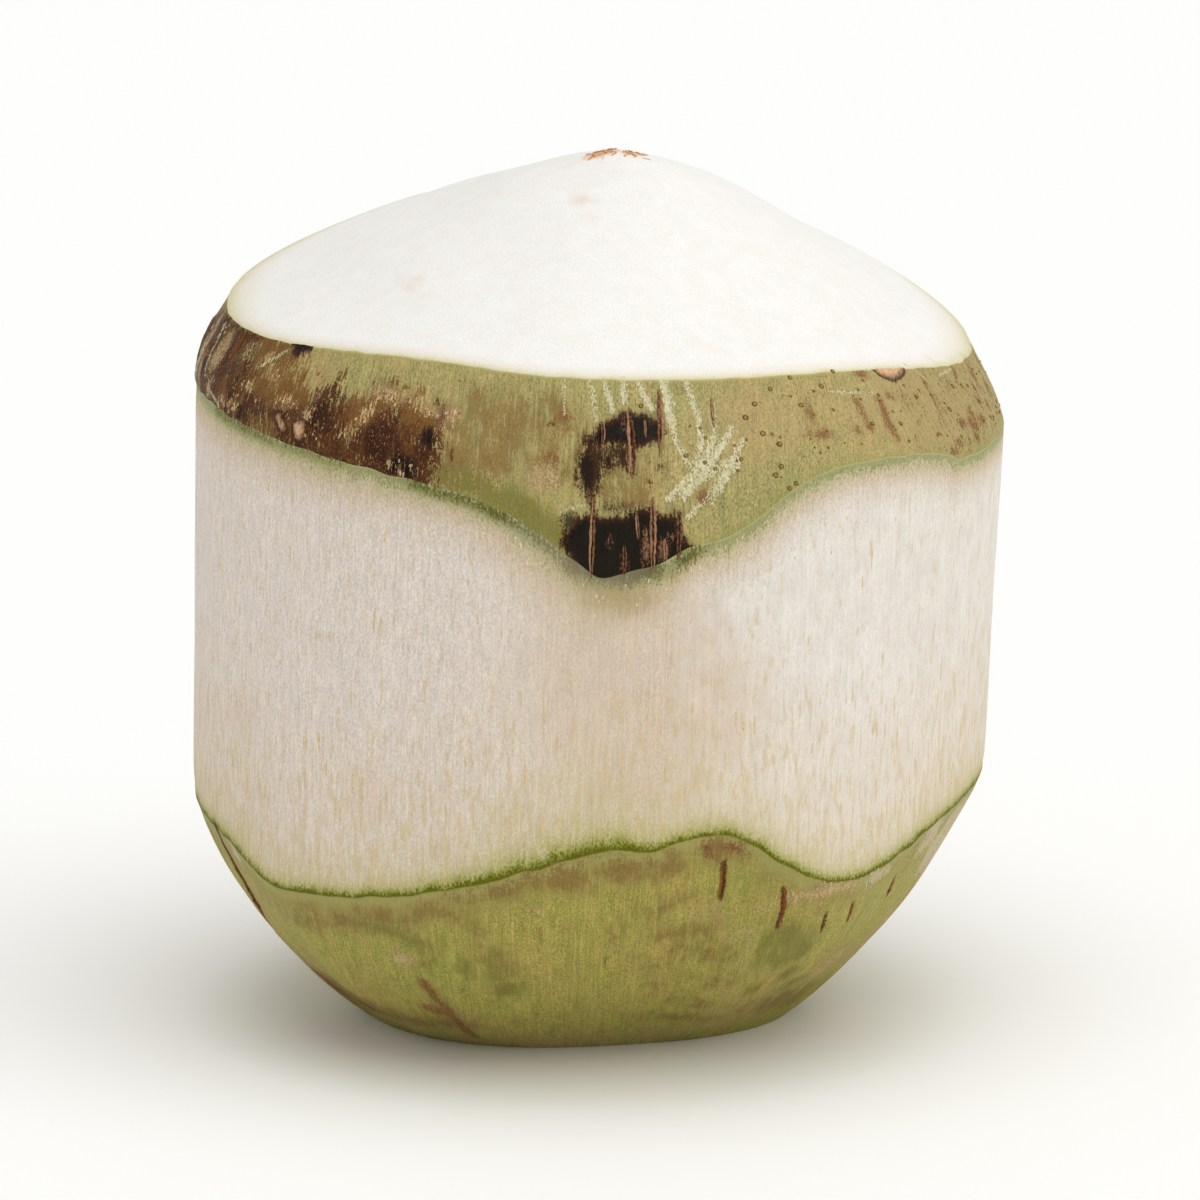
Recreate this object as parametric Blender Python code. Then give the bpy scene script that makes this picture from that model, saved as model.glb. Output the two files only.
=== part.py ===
"""A trimmed young coconut, cut to a pointed top and an upright side, on a flat foot.

Metres, +Z up. The origin is at the middle of the flat foot. Azimuths are in degrees, from the
front (-Y) round towards +X. The husk keeps its green skin in a band below the pointed top and on
the whole base. Between the two a knife has cut the side down to the white pith, so the edges of
the skin run in waves: they follow the three flats of the husk, where the skin lies deeper.
"""

import math
from collections import namedtuple

import bmesh
import bpy

# Pointed top
HEIGHT = 0.1291
POINT_X = 0.0071
POINT_ROUNDING = 0.0117
TOP_SLOPE = 0.518
TOP_SLOPE_SWAY = 0.204
TOP_STEEPEST_AT = 37.5
TOP_SLOPE_SQUEEZE = -0.048

# Stem scar at the very point
SCAR_RADIUS = 0.0034
SCAR_RISE = 0.0006
SCAR_X = 0.0057

# Upright side
SIDE_RADIUS = 0.0595
SIDE_RADIUS_AT = 0.090
SIDE_FLARE = 0.0164
SIDE_LEAN = 0.0322
SIDE_FOOT_X = 0.0009

# Skin, whose bulges are shares of the straight way across it. A `tilt` makes a bulge less on the
# right (+X) and more on the left. A `lag` over 1 puts its fullest part lower down.
BAND_BULGE = 0.053
BAND_BULGE_TILT = -0.028
BAND_LAG = 1.5
BASE_BULGE = 0.0685
BASE_BULGE_TILT = -0.0085
BASE_LAG = 0.95

# Flat foot
FOOT_RADIUS = 0.0318

# Mesh density
COLUMNS = 120
TOP_RINGS = 8
TOP_CROWDING = 1.5
BAND_RINGS = 6
SIDE_RINGS = 5
BASE_RINGS = 9
FOOT_RINGS = 2

CREASE_ANGLE = 24.0

# Skin colour, linear
SKIN_GREEN = (0.26, 0.25, 0.07, 1.0)
SKIN_ROUGHNESS = 0.55

# A swell lifts a level round one azimuth. It falls off over `before` degrees on the side of the
# smaller azimuths and over `after` on the other, and a `power` under 2 makes it pointed.
Swell = namedtuple("Swell", "azimuth rise before after power")

RIM_RADIUS = 0.0456
RIM_SHIFT = 0.0009
RIM_SWELLS = (
    Swell(-83, 0.0107, 78, 49, 2.0),
    Swell(89, 0.0076, 32, 57, 2.0),
    Swell(-4, 0.0036, 25, 51, 2.0),
    Swell(-132, -0.0115, 21, 20, 2.0),
    Swell(134, -0.0056, 18, 26, 2.0),
    Swell(180, 0.0045, 30, 30, 2.0),
)

UPPER_LEVEL = 0.0948
UPPER_TILT = -0.0040
UPPER_SWELLS = (
    Swell(15, -0.0108, 20.4, 11.7, 2.0),
    Swell(6, -0.0053, 14.4, 5.3, 2.0),
    Swell(-1, -0.0062, 80, 5.1, 2.0),
    Swell(60.5, -0.0021, 5, 21, 2.0),
    Swell(-122, -0.0056, 24, 18, 1.5),
    Swell(124, -0.0085, 18, 22, 1.5),
)

LOWER_LEVEL = 0.0356
LOWER_TILT = 0.0022
LOWER_SWELLS = (
    Swell(-48.5, -0.0057, 12.5, 37, 2.0),
    Swell(39.5, -0.0060, 12, 18, 2.0),
    Swell(17.5, 0.0047, 12, 9, 2.0),
    Swell(2, 0.0032, 16, 4.7, 2.0),
    Swell(-118, 0.0055, 18, 22, 1.6),
    Swell(116, 0.0045, 20, 16, 1.6),
    Swell(178, -0.0050, 26, 24, 2.0),
)

FOOT_SWELLS = (
    Swell(12, -0.0092, 64, 54, 2.0),
    Swell(-85, 0.0012, 26, 26, 2.0),
    Swell(86, 0.0012, 26, 26, 2.0),
    Swell(-130, -0.0026, 26, 26, 2.0),
    Swell(132, -0.0026, 26, 26, 2.0),
)


def swell_sum(azimuth, swells):
    """Height of all swells together at an azimuth."""
    total = 0.0
    for swell in swells:
        offset = (azimuth - swell.azimuth + 180.0) % 360.0 - 180.0
        width = swell.before if offset < 0.0 else swell.after
        total += swell.rise * math.exp(-abs(offset / width) ** swell.power)
    return total


def side_centre(z):
    """X of the leaning side's axis at height z."""
    return SIDE_FOOT_X + SIDE_LEAN * z


def side_radius(z):
    """Radius of the upright side at height z."""
    return SIDE_RADIUS + SIDE_FLARE * (z - SIDE_RADIUS_AT)


def place(azimuth, radius, z):
    """Point at an azimuth, a radius from the leaning axis and a height."""
    angle = math.radians(azimuth)
    return (side_centre(z) + radius * math.sin(angle), -radius * math.cos(angle), z)


def top_height(x, y):
    """Height of the pointed top's cut face above a point of the plan."""
    radius = math.hypot(x - POINT_X, y)
    angle = math.atan2(x - POINT_X, -y)
    slope = TOP_SLOPE + TOP_SLOPE_SWAY * math.cos(angle - math.radians(TOP_STEEPEST_AT))
    slope += TOP_SLOPE_SQUEEZE * math.cos(2.0 * angle)
    fall = slope * (math.hypot(radius, POINT_ROUNDING) - POINT_ROUNDING)
    scar = SCAR_RISE * math.exp(-(math.hypot(x - SCAR_X, y) / SCAR_RADIUS) ** 4)
    return HEIGHT - fall + scar


def rim(azimuth):
    """Radius and height of the sharp rim between the pointed top and the band."""
    radius = RIM_RADIUS + RIM_SHIFT * math.sin(math.radians(azimuth))
    radius += swell_sum(azimuth, RIM_SWELLS)
    height = HEIGHT
    for _ in range(4):
        x, y, _ = place(azimuth, radius, height)
        height = top_height(x, y)
    return radius, height


def upper_line(azimuth):
    """Radius and height of the band's lower edge on the side."""
    height = UPPER_LEVEL + UPPER_TILT * math.sin(math.radians(azimuth))
    height += swell_sum(azimuth, UPPER_SWELLS)
    return side_radius(height), height


def lower_line(azimuth):
    """Radius and height of the base skin's upper edge on the side."""
    height = LOWER_LEVEL + LOWER_TILT * math.sin(math.radians(azimuth))
    height += swell_sum(azimuth, LOWER_SWELLS)
    return side_radius(height), height


def foot_edge(azimuth):
    """Radius and height of the flat foot's edge."""
    return FOOT_RADIUS + swell_sum(azimuth, FOOT_SWELLS), 0.0


def between(start, end, share, bulge, lag):
    """Radius and height at a share of the way between two, on an arc that bulges outwards."""
    run = end[0] - start[0]
    rise = end[1] - start[1]
    offset = bulge * math.sin(math.pi * share**lag)
    return start[0] + run * share - rise * offset, start[1] + rise * share + run * offset


def profile(azimuth):
    """Points of one meridian, from the first ring of the top down to the last ring of the foot."""
    rim_at = rim(azimuth)
    upper_at = upper_line(azimuth)
    lower_at = lower_line(azimuth)
    foot_at = foot_edge(azimuth)
    edge = place(azimuth, *rim_at)
    right = math.sin(math.radians(azimuth))
    band_bulge = BAND_BULGE + BAND_BULGE_TILT * right
    base_bulge = BASE_BULGE + BASE_BULGE_TILT * right
    points = []
    for ring in range(1, TOP_RINGS):
        share = (ring / TOP_RINGS) ** TOP_CROWDING
        x = POINT_X + (edge[0] - POINT_X) * share
        y = edge[1] * share
        points.append((x, y, top_height(x, y)))
    stretches = (
        (rim_at, upper_at, BAND_RINGS, band_bulge, BAND_LAG),
        (upper_at, lower_at, SIDE_RINGS, 0.0, 1.0),
        (lower_at, foot_at, BASE_RINGS, base_bulge, BASE_LAG),
        (foot_at, (0.0, 0.0), FOOT_RINGS, 0.0, 1.0),
    )
    for start, end, rings, bulge, lag in stretches:
        for ring in range(rings):
            radius, height = between(start, end, ring / rings, bulge, lag)
            points.append(place(azimuth, radius, height))
    return points


def coconut_mesh():
    """Closed mesh of the whole coconut, lofted through its meridians."""
    mesh = bpy.data.meshes.new("coconut")
    built = bmesh.new()
    tip = built.verts.new((POINT_X, 0.0, top_height(POINT_X, 0.0)))
    foot = built.verts.new((0.0, 0.0, 0.0))
    columns = []
    for column in range(COLUMNS):
        points = profile(360.0 * column / COLUMNS)
        columns.append([built.verts.new(point) for point in points])
    for column, left in enumerate(columns):
        right = columns[(column + 1) % COLUMNS]
        built.faces.new((tip, left[0], right[0]))
        for ring in range(len(left) - 1):
            built.faces.new((left[ring], left[ring + 1], right[ring + 1], right[ring]))
        built.faces.new((foot, right[-1], left[-1]))
    bmesh.ops.triangulate(built, faces=built.faces)
    built.to_mesh(mesh)
    built.free()
    mesh.shade_smooth()
    mesh.set_sharp_from_angle(angle=math.radians(CREASE_ANGLE))
    return mesh


def skin_material():
    """Waxy green husk skin."""
    material = bpy.data.materials.new("coconut_husk")
    material.use_nodes = True
    shader = material.node_tree.nodes["Principled BSDF"]
    shader.inputs["Base Color"].default_value = SKIN_GREEN
    shader.inputs["Roughness"].default_value = SKIN_ROUGHNESS
    shader.inputs["Metallic"].default_value = 0.0
    return material


def main():
    """Clears the scene and builds the coconut."""
    for thing in list(bpy.data.objects):
        bpy.data.objects.remove(thing, do_unlink=True)
    mesh = coconut_mesh()
    mesh.materials.append(skin_material())
    bpy.context.scene.collection.objects.link(bpy.data.objects.new("coconut", mesh))


main()
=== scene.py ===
"""A trimmed young coconut: its looks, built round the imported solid.

A knife has cut the husk to a pointed top and an upright side, and has left its green skin in a
band under the top and on the base. The husk is one closed surface, lofted through its meridians
as the solid is. Small fibres, splinters, flakes and crumbs lie on it as real relief.

Lengths are in millimetres until a mesh is made, angles in degrees. Azimuths run from the front
(-Y) round towards +X. A mark's place on the husk is its azimuth and its height above the foot.
"""

import logging
import math
from dataclasses import dataclass
from enum import Enum
from functools import partial

import bpy
import numpy as np
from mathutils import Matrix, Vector


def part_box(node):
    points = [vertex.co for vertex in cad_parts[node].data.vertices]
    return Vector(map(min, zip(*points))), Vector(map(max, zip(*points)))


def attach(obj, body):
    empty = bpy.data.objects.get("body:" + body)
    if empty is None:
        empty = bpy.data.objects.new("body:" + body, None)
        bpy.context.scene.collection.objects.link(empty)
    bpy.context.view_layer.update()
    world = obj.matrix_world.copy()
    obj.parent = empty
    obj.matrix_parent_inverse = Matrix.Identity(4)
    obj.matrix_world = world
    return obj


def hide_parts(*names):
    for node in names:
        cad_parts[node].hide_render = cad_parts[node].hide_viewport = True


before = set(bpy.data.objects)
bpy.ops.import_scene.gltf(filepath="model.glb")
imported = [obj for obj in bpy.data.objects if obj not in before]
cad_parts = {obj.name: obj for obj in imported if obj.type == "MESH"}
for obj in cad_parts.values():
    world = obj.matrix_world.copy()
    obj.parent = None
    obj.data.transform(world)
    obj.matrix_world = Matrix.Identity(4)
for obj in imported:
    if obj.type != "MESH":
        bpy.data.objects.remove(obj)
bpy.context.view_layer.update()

LOG = logging.getLogger("coconut")
BODY = "root"
NODE = "coconut"
MM = 0.001
CM2_IN_M2 = 1e4
TURN = 2.0 * math.pi
NEW_RAMP_STOPS = 2

# Millimetres from a mark that stand for far outside it, and the most that a stain tells apart
FAR = 99.0
DEPTH_LIMIT = 8.0
# Millimetres below the plane of an oval mark where the husk's other side begins
OTHER_SIDE = 30.0

Array = np.ndarray
Colour = tuple[float, float, float, float]
Pair = tuple[float, float]
Triple = tuple[float, float, float]
Path = tuple[Pair, ...]


def linear(code: str) -> Colour:
    """Turns an sRGB hex value to a linear colour, by the numbers of the sRGB standard.

    Args:
        code: The value, such as #a0b1c2.

    Returns:
        Red, green and blue, and an alpha of 1.
    """
    channels = (int(code[start : start + 2], 16) / 255.0 for start in (1, 3, 5))
    lit = [c / 12.92 if c <= 0.04045 else ((c + 0.055) / 1.055) ** 2.4 for c in channels]
    return (lit[0], lit[1], lit[2], 1.0)


def add_node(
    tree: bpy.types.NodeTree,
    kind: str,
    sockets: dict | None = None,
    stops: tuple = (),
    **settings: object,
) -> bpy.types.Node:
    """Adds a node to a tree, with its settings and links.

    Args:
        tree: Tree that gets the node.
        kind: Blender's name of the node type.
        sockets: Values by input name or number, counted among the inputs in use. An output
            or a node is linked, a node by its first output in use, and anything else is set.
        stops: Positions and colours of a colour ramp.
        settings: Properties of the node.

    Returns:
        The new node.
    """
    node = tree.nodes.new(kind)
    for name, value in settings.items():
        setattr(node, name, value)
    for place, (position, colour) in enumerate(stops):
        ramp = node.color_ramp.elements
        stop = ramp[place] if place < NEW_RAMP_STOPS else ramp.new(position)
        stop.position = position
        stop.color = colour
    for key, value in (sockets or {}).items():
        usable = [socket for socket in node.inputs if socket.enabled]
        named = [socket for socket in usable if socket.name == key]
        target = usable[key] if isinstance(key, int) else named[0]
        if isinstance(value, bpy.types.Node):
            value = next(socket for socket in value.outputs if socket.enabled)
        if isinstance(value, bpy.types.NodeSocket):
            tree.links.new(value, target)
        else:
            target.default_value = value
    return node


def add_values(mesh: bpy.types.Mesh, name: str, values: Array | list) -> None:
    """Keeps a number or a vector for each point of a mesh.

    Args:
        mesh: Mesh that gets the values.
        name: Name of the attribute.
        values: One value or vector per point.
    """
    full = np.array(values, dtype=np.float32)
    vector = full.ndim == 2
    layer = mesh.attributes.new(name, "FLOAT_VECTOR" if vector else "FLOAT", "POINT")
    layer.data.foreach_set("vector" if vector else "value", full.ravel())


def new_piece(name: str, mesh: bpy.types.Mesh) -> bpy.types.Object:
    """Puts a mesh in the scene, on the part's one body.

    Args:
        name: Name of the piece.
        mesh: Its finished mesh.

    Returns:
        The piece's object.
    """
    piece = bpy.data.objects.new(name, mesh)
    bpy.context.scene.collection.objects.link(piece)
    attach(piece, BODY)
    return piece


def shaded_piece(
    name: str, points: list, faces: list, shades: list, finish: "FleckFinish"
) -> bpy.types.Object:
    """Makes a piece of many small parts, each point with its own shade.

    Args:
        name: Name of the piece.
        points: Its points in metres.
        faces: Its faces, as numbers of points.
        shades: From 0 for the darkest point to 1 for the lightest.
        finish: Its finish.

    Returns:
        The piece's object.
    """
    mesh = bpy.data.meshes.new(name)
    mesh.from_pydata([tuple(point) for point in points], [], faces)
    mesh.materials.append(finish.material())
    add_values(mesh, "shade", shades)
    mesh.shade_smooth()
    return new_piece(name, mesh)


def ripples(points: Array, sizes: Triple, seed: int, waves: int = 28) -> Array:
    """Smooth random relief, mostly between -1 and 1.

    Args:
        points: Places in millimetres, one per row.
        sizes: Rough size of the ripples along each axis, in millimetres.
        seed: Seed of the random waves.
        waves: Number of waves that are added up.

    Returns:
        The relief at each point.
    """
    rng = np.random.default_rng(seed)
    turns = rng.normal(size=(waves, 3)) * (math.pi / np.array(sizes))
    phases = rng.uniform(0.0, TURN, waves)
    return np.cos(points @ turns.T + phases).sum(axis=1) / math.sqrt(waves)


def smooth_step(values: Array, low: float, high: float) -> Array:
    """Values turned to a smooth rise from 0 at `low` to 1 at `high`."""
    share = np.clip((values - low) / (high - low), 0.0, 1.0)
    return share * share * (3.0 - 2.0 * share)


def unit(vector: Array) -> Array:
    """Vectors scaled to length 1 along the last axis."""
    return vector / np.maximum(np.linalg.norm(vector, axis=-1, keepdims=True), 1e-9)


def segment_gap(points: Array, start: Array, end: Array) -> Array:
    """Measures from points to the straight line between two others.

    Args:
        points: Places in millimetres, one per row.
        start: One end of the line.
        end: Its other end.

    Returns:
        The distance of each point.
    """
    along = end - start
    share = np.clip((points - start) @ along / (along @ along), 0.0, 1.0)
    return np.linalg.norm(points - start - share[:, None] * along, axis=1)


class Zone(Enum):
    """Stretches of the husk's surface, from the point down to the middle of the foot."""

    TOP = "pointed top"
    BAND = "band of skin"
    SIDE = "cut side"
    BASE = "skin of the base"
    FOOT = "cut foot"

    @property
    def number(self) -> int:
        """Place of the zone in that order, from 0."""
        return list(Zone).index(self)


@dataclass(frozen=True)
class Swell:
    """A rise or dip of a level round one azimuth.

    It falls off over `before` degrees towards smaller azimuths and over `after` the other way.
    A `power` under 2 makes it pointed.
    """

    azimuth: float
    rise: float
    before: float
    after: float
    power: float = 2.0

    def at(self, azimuth: Array) -> Array:
        """Height of the swell at each azimuth."""
        off = (azimuth - self.azimuth + 180.0) % 360.0 - 180.0
        width = np.where(off < 0.0, self.before, self.after)
        return self.rise * np.exp(-np.abs(off / width) ** self.power)


def swells(*rows: tuple[float, ...]) -> tuple[Swell, ...]:
    """Swells, each from its azimuth, rise, widths and, where it has one, power."""
    return tuple(Swell(*row) for row in rows)


@dataclass(frozen=True)
class Edge:
    """An edge that runs round the husk in waves: a level, a tilt across it and swells.

    `wobble` is the size of the knife's small unevenness along it, and the number of its waves
    round the husk goes from `slowest` to `quickest` in steps of `skip`.
    """

    level: float
    tilt: float
    swells: tuple[Swell, ...]
    wobble: float = 0.0
    slowest: int = 16
    quickest: int = 84
    skip: int = 3

    def at(self, azimuth: Array) -> Array:
        """Works out the edge's level.

        Args:
            azimuth: Azimuths of the places asked for.

        Returns:
            The level at each place.
        """
        total = self.level + self.tilt * np.sin(np.radians(azimuth))
        for swell in self.swells:
            total = total + swell.at(azimuth)
        waves = np.arange(self.slowest, self.quickest, self.skip)
        phases = np.random.default_rng(self.quickest).uniform(0.0, TURN, len(waves))
        turns = np.radians(azimuth)[..., None] * waves + phases
        return total + self.wobble * np.cos(turns).sum(axis=-1) / math.sqrt(len(waves))


@dataclass(frozen=True)
class HuskForm:
    """Shape of the husk, as a loft through its meridians.

    `rim_rounds` is how often the rim is set on the top anew, `spot_steps` how finely a zone is
    searched for a height, and `beside` how far apart, in degrees and in millimetres, the points
    lie that give a direction on the husk.
    """

    height: float
    point_x: float = 7.1
    point_rounding: float = 11.7
    top_slope: float = 0.518
    top_slope_sway: float = 0.204
    top_steepest_at: float = 37.5
    top_slope_squeeze: float = -0.048
    scar_radius: float = 3.4
    scar_rise: float = 0.6
    scar_x: float = 5.7
    side_radius: float = 59.5
    side_radius_at: float = 90.0
    side_flare: float = 0.0164
    side_lean: float = 0.0322
    side_foot_x: float = 0.9
    band_bulge: Edge = Edge(0.053, -0.028, ())
    band_lag: float = 1.5
    base_bulge: Edge = Edge(0.0685, -0.0085, ())
    base_lag: float = 0.95
    rim_edge: Edge = Edge(
        45.6,
        0.9,
        swells(
            (-83, 10.7, 78, 49), (89, 7.6, 32, 57), (-4, 3.6, 25, 51), (-132, -11.5, 21, 20),
            (134, -5.6, 18, 26), (180, 4.5, 30, 30),
        ),
        wobble=0.06,
    )
    upper_edge: Edge = Edge(
        94.8,
        -4.0,
        swells(
            (15, -10.8, 20.4, 11.7), (6, -5.3, 14.4, 5.3), (-1, -6.2, 80, 5.1),
            (60.5, -2.1, 5, 21), (-122, -5.6, 24, 18, 1.5), (124, -8.5, 18, 22, 1.5),
        ),
        wobble=0.1,
        quickest=82,
    )
    lower_edge: Edge = Edge(
        35.6,
        2.2,
        swells(
            (-48.5, -5.7, 12.5, 37), (39.5, -6.0, 12, 18), (17.5, 4.7, 12, 9),
            (2, 3.2, 16, 4.7), (-118, 5.5, 18, 22, 1.6), (116, 4.5, 20, 16, 1.6),
            (178, -5.0, 26, 24),
        ),
        wobble=0.12,
        quickest=86,
    )
    foot_edge: Edge = Edge(
        31.8,
        0.0,
        swells(
            (12, -9.2, 64, 54), (-85, 1.2, 26, 26), (86, 1.2, 26, 26),
            (-130, -2.6, 26, 26), (132, -2.6, 26, 26),
        ),
    )
    rim_rounds: int = 4
    spot_steps: int = 60
    beside: Pair = (0.6, 0.4)

    def place(self, azimuth: Array, radius: Array, z: Array) -> Array:
        """Places points round the leaning axis.

        Args:
            azimuth: Their azimuths.
            radius: Their distances from the axis.
            z: Their heights.

        Returns:
            The points, one per row.
        """
        angle = np.radians(azimuth)
        x = self.side_foot_x + self.side_lean * z + radius * np.sin(angle)
        return np.stack([x, -radius * np.cos(angle), z + 0.0 * angle], axis=-1)

    def top_height(self, x: Array, y: Array) -> Array:
        """Works out the height of the pointed top.

        Args:
            x: Places to the right.
            y: Places to the back.

        Returns:
            The height above each place.
        """
        radius = np.hypot(x - self.point_x, y)
        angle = np.arctan2(x - self.point_x, -y)
        slope = self.top_slope + self.top_slope_squeeze * np.cos(2.0 * angle)
        slope = slope + self.top_slope_sway * np.cos(angle - math.radians(self.top_steepest_at))
        fall = slope * (np.hypot(radius, self.point_rounding) - self.point_rounding)
        scar = self.scar_rise * np.exp(-((np.hypot(x - self.scar_x, y) / self.scar_radius) ** 4))
        return self.height - fall + scar

    def rim(self, azimuth: Array) -> tuple[Array, Array]:
        """Finds the sharp rim under the pointed top.

        Args:
            azimuth: Azimuths to find it at.

        Returns:
            Its radius and its height at each of them.
        """
        radius = self.rim_edge.at(azimuth)
        height = np.full_like(radius, self.height)
        for _ in range(self.rim_rounds):
            where = self.place(azimuth, radius, height)
            height = self.top_height(where[..., 0], where[..., 1])
        return radius, height

    def side_line(self, edge: Edge, azimuth: Array) -> tuple[Array, Array]:
        """Radius and height of a skin edge on the upright side."""
        height = edge.at(azimuth)
        return self.side_radius + self.side_flare * (height - self.side_radius_at), height

    def ends(self, zone: Zone, azimuth: Array) -> tuple:
        """Finds where a zone below the rim starts and ends.

        Args:
            zone: The zone.
            azimuth: Azimuths to find it at.

        Returns:
            Radius and height at its upper and at its lower end, then its bulge and lag.
        """
        if zone is Zone.BAND:
            lower = self.side_line(self.upper_edge, azimuth)
            return self.rim(azimuth), lower, self.band_bulge.at(azimuth), self.band_lag
        if zone is Zone.SIDE:
            upper = self.side_line(self.upper_edge, azimuth)
            return upper, self.side_line(self.lower_edge, azimuth), 0.0, 1.0
        foot = self.foot_edge.at(azimuth)
        if zone is Zone.BASE:
            upper = self.side_line(self.lower_edge, azimuth)
            return upper, (foot, 0.0 * foot), self.base_bulge.at(azimuth), self.base_lag
        return (foot, 0.0 * foot), (0.0 * foot, 0.0 * foot), 0.0, 1.0

    def surface(self, zone: Zone, share: Array, azimuth: Array) -> Array:
        """Finds points of the husk's surface.

        Args:
            zone: Stretch of the surface.
            share: Share of the way down the zone, from 0 to 1.
            azimuth: Azimuth of each point.

        Returns:
            The points, one per row.
        """
        if zone is Zone.TOP:
            rim = self.place(azimuth, *self.rim(azimuth))
            x = self.point_x + (rim[..., 0] - self.point_x) * share
            y = rim[..., 1] * share
            return np.stack([x, y, self.top_height(x, y)], axis=-1)
        start, end, bulge, lag = self.ends(zone, azimuth)
        run = end[0] - start[0]
        rise = end[1] - start[1]
        offset = bulge * np.sin(math.pi * share**lag)
        radius = start[0] + run * share - rise * offset
        return self.place(azimuth, radius, start[1] + rise * share + run * offset)

    def spot(self, azimuth: float, height: float) -> Array:
        """Finds one point of the surface.

        Args:
            azimuth: Its azimuth.
            height: Its height.

        Returns:
            The point.
        """
        shares = np.linspace(0.0, 1.0, self.spot_steps)
        turned = np.full(self.spot_steps, float(azimuth))
        line = np.concatenate([self.surface(zone, shares, turned) for zone in Zone])
        return np.array([np.interp(-height, -line[:, 2], line[:, axis]) for axis in range(3)])

    def unrolled(self, points: Array) -> Array:
        """Lays places on the husk flat.

        Args:
            points: The places, one per row.

        Returns:
            Millimetres round the husk and up it.
        """
        centre = self.side_foot_x + self.side_lean * points[:, 2]
        turn = np.arctan2(points[:, 0] - centre, -points[:, 1])
        return np.stack([self.side_radius * turn, points[:, 2]], axis=1)

    def axes_at(self, azimuth: float, height: float) -> tuple[Array, Array, Array, Array]:
        """Finds a point of the surface and the directions there.

        Args:
            azimuth: Its azimuth.
            height: Its height.

        Returns:
            The point, then unit vectors across the husk, up it and out of it.
        """
        wide, high = self.beside
        across = unit(self.spot(azimuth + wide, height) - self.spot(azimuth - wide, height))
        up = unit(self.spot(azimuth, height + high) - self.spot(azimuth, height - high))
        return self.spot(azimuth, height), across, up, unit(np.cross(across, up))


@dataclass(frozen=True)
class Mark:
    """Something on the husk that has an inside."""

    def depth(self, points: Array, form: HuskForm) -> Array:
        """Measures how far inside the mark points lie.

        Args:
            points: The points, one per row.
            form: Form of the husk.

        Returns:
            Millimetres inside the mark, negative outside it.
        """
        raise NotImplementedError


@dataclass(frozen=True)
class Patch(Mark):
    """An oval mark. `across` and `along` are its half sizes, and its top leans by `lean`."""

    azimuth: float
    height: float
    across: float
    along: float
    lean: float = 0.0

    def depth(self, points: Array, form: HuskForm) -> Array:
        """Millimetres inside the oval, as `Mark` says."""
        origin, across, up, out = form.axes_at(self.azimuth, self.height)
        local = points - origin
        u, v = local @ across, local @ up
        turn = math.radians(self.lean)
        side = u * math.cos(turn) - v * math.sin(turn)
        rise = u * math.sin(turn) + v * math.cos(turn)
        reach = 1.0 - np.hypot(side / self.across, rise / self.along)
        near = local @ out > -OTHER_SIDE
        return np.where(near, reach * min(self.across, self.along), -FAR)


@dataclass(frozen=True)
class Trail(Mark):
    """A thin mark along points of azimuth and height, with its half width."""

    points: Path
    width: float

    def depth(self, points: Array, form: HuskForm) -> Array:
        """Millimetres inside the line, as `Mark` says."""
        spots = [form.spot(*point) for point in self.points]
        nearest = np.full(len(points), FAR)
        for start, end in zip(spots, spots[1:]):
            nearest = np.minimum(nearest, segment_gap(points, start, end))
        return self.width - nearest


@dataclass(frozen=True)
class Area(Mark):
    """A mark inside an outline of azimuths and heights."""

    outline: Path

    def depth(self, points: Array, form: HuskForm) -> Array:
        """Millimetres inside the outline, as `Mark` says."""
        flat = form.unrolled(points)
        corners = form.unrolled(np.array([form.spot(*corner) for corner in self.outline]))
        inside = np.zeros(len(points), dtype=bool)
        nearest = np.full(len(points), FAR)
        for start, end in zip(corners, np.roll(corners, -1, axis=0)):
            rise = end[1] - start[1] or 1e-9
            meets = start[0] + (end[0] - start[0]) * (flat[:, 1] - start[1]) / rise
            between = (start[1] > flat[:, 1]) != (end[1] > flat[:, 1])
            inside ^= between & (flat[:, 0] < meets)
            nearest = np.minimum(nearest, segment_gap(flat, start, end))
        return np.where(inside, nearest, -nearest)


def patches(*rows: tuple[float, ...]) -> tuple[Patch, ...]:
    """Oval marks, each from its azimuth, height, half sizes and, where it has one, lean."""
    return tuple(Patch(*row) for row in rows)


@dataclass(frozen=True)
class Stain(Mark):
    """One kind of mark on the husk: where it lies, and its colour, edge and relief.

    `core` and `edge` are its colours inside and over the first `band` millimetres. The edge
    fades over `soft`. It wanders by `cloudy` millimetres in blotches, by `streaky` along the
    fibres and by `specky` in grains, and a negative value swaps the hollows and the tongues.
    `deepest` keeps it so thin that they break holes into it. `cover` is how much of the ground
    it hides, `uneven` how far its own tone varies, and `rise` its height above the ground.
    """

    name: str
    core: str
    edge: str
    marks: tuple
    gaps: tuple = ()
    soft: float = 1.0
    band: float = 1.0
    cloudy: float = 0.0
    streaky: float = 0.5
    specky: float = 0.3
    deepest: float = DEPTH_LIMIT
    cover: float = 1.0
    uneven: float = 0.1
    rise: float = 0.0

    def depth(self, points: Array, form: HuskForm) -> Array:
        """Millimetres inside any of the marks and outside the gaps, as `Mark` says."""
        inside = np.max([mark.depth(points, form) for mark in self.marks], axis=0)
        for gap in self.gaps:
            inside = np.minimum(inside, -gap.depth(points, form))
        return np.clip(inside, -DEPTH_LIMIT, self.deepest)


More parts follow.
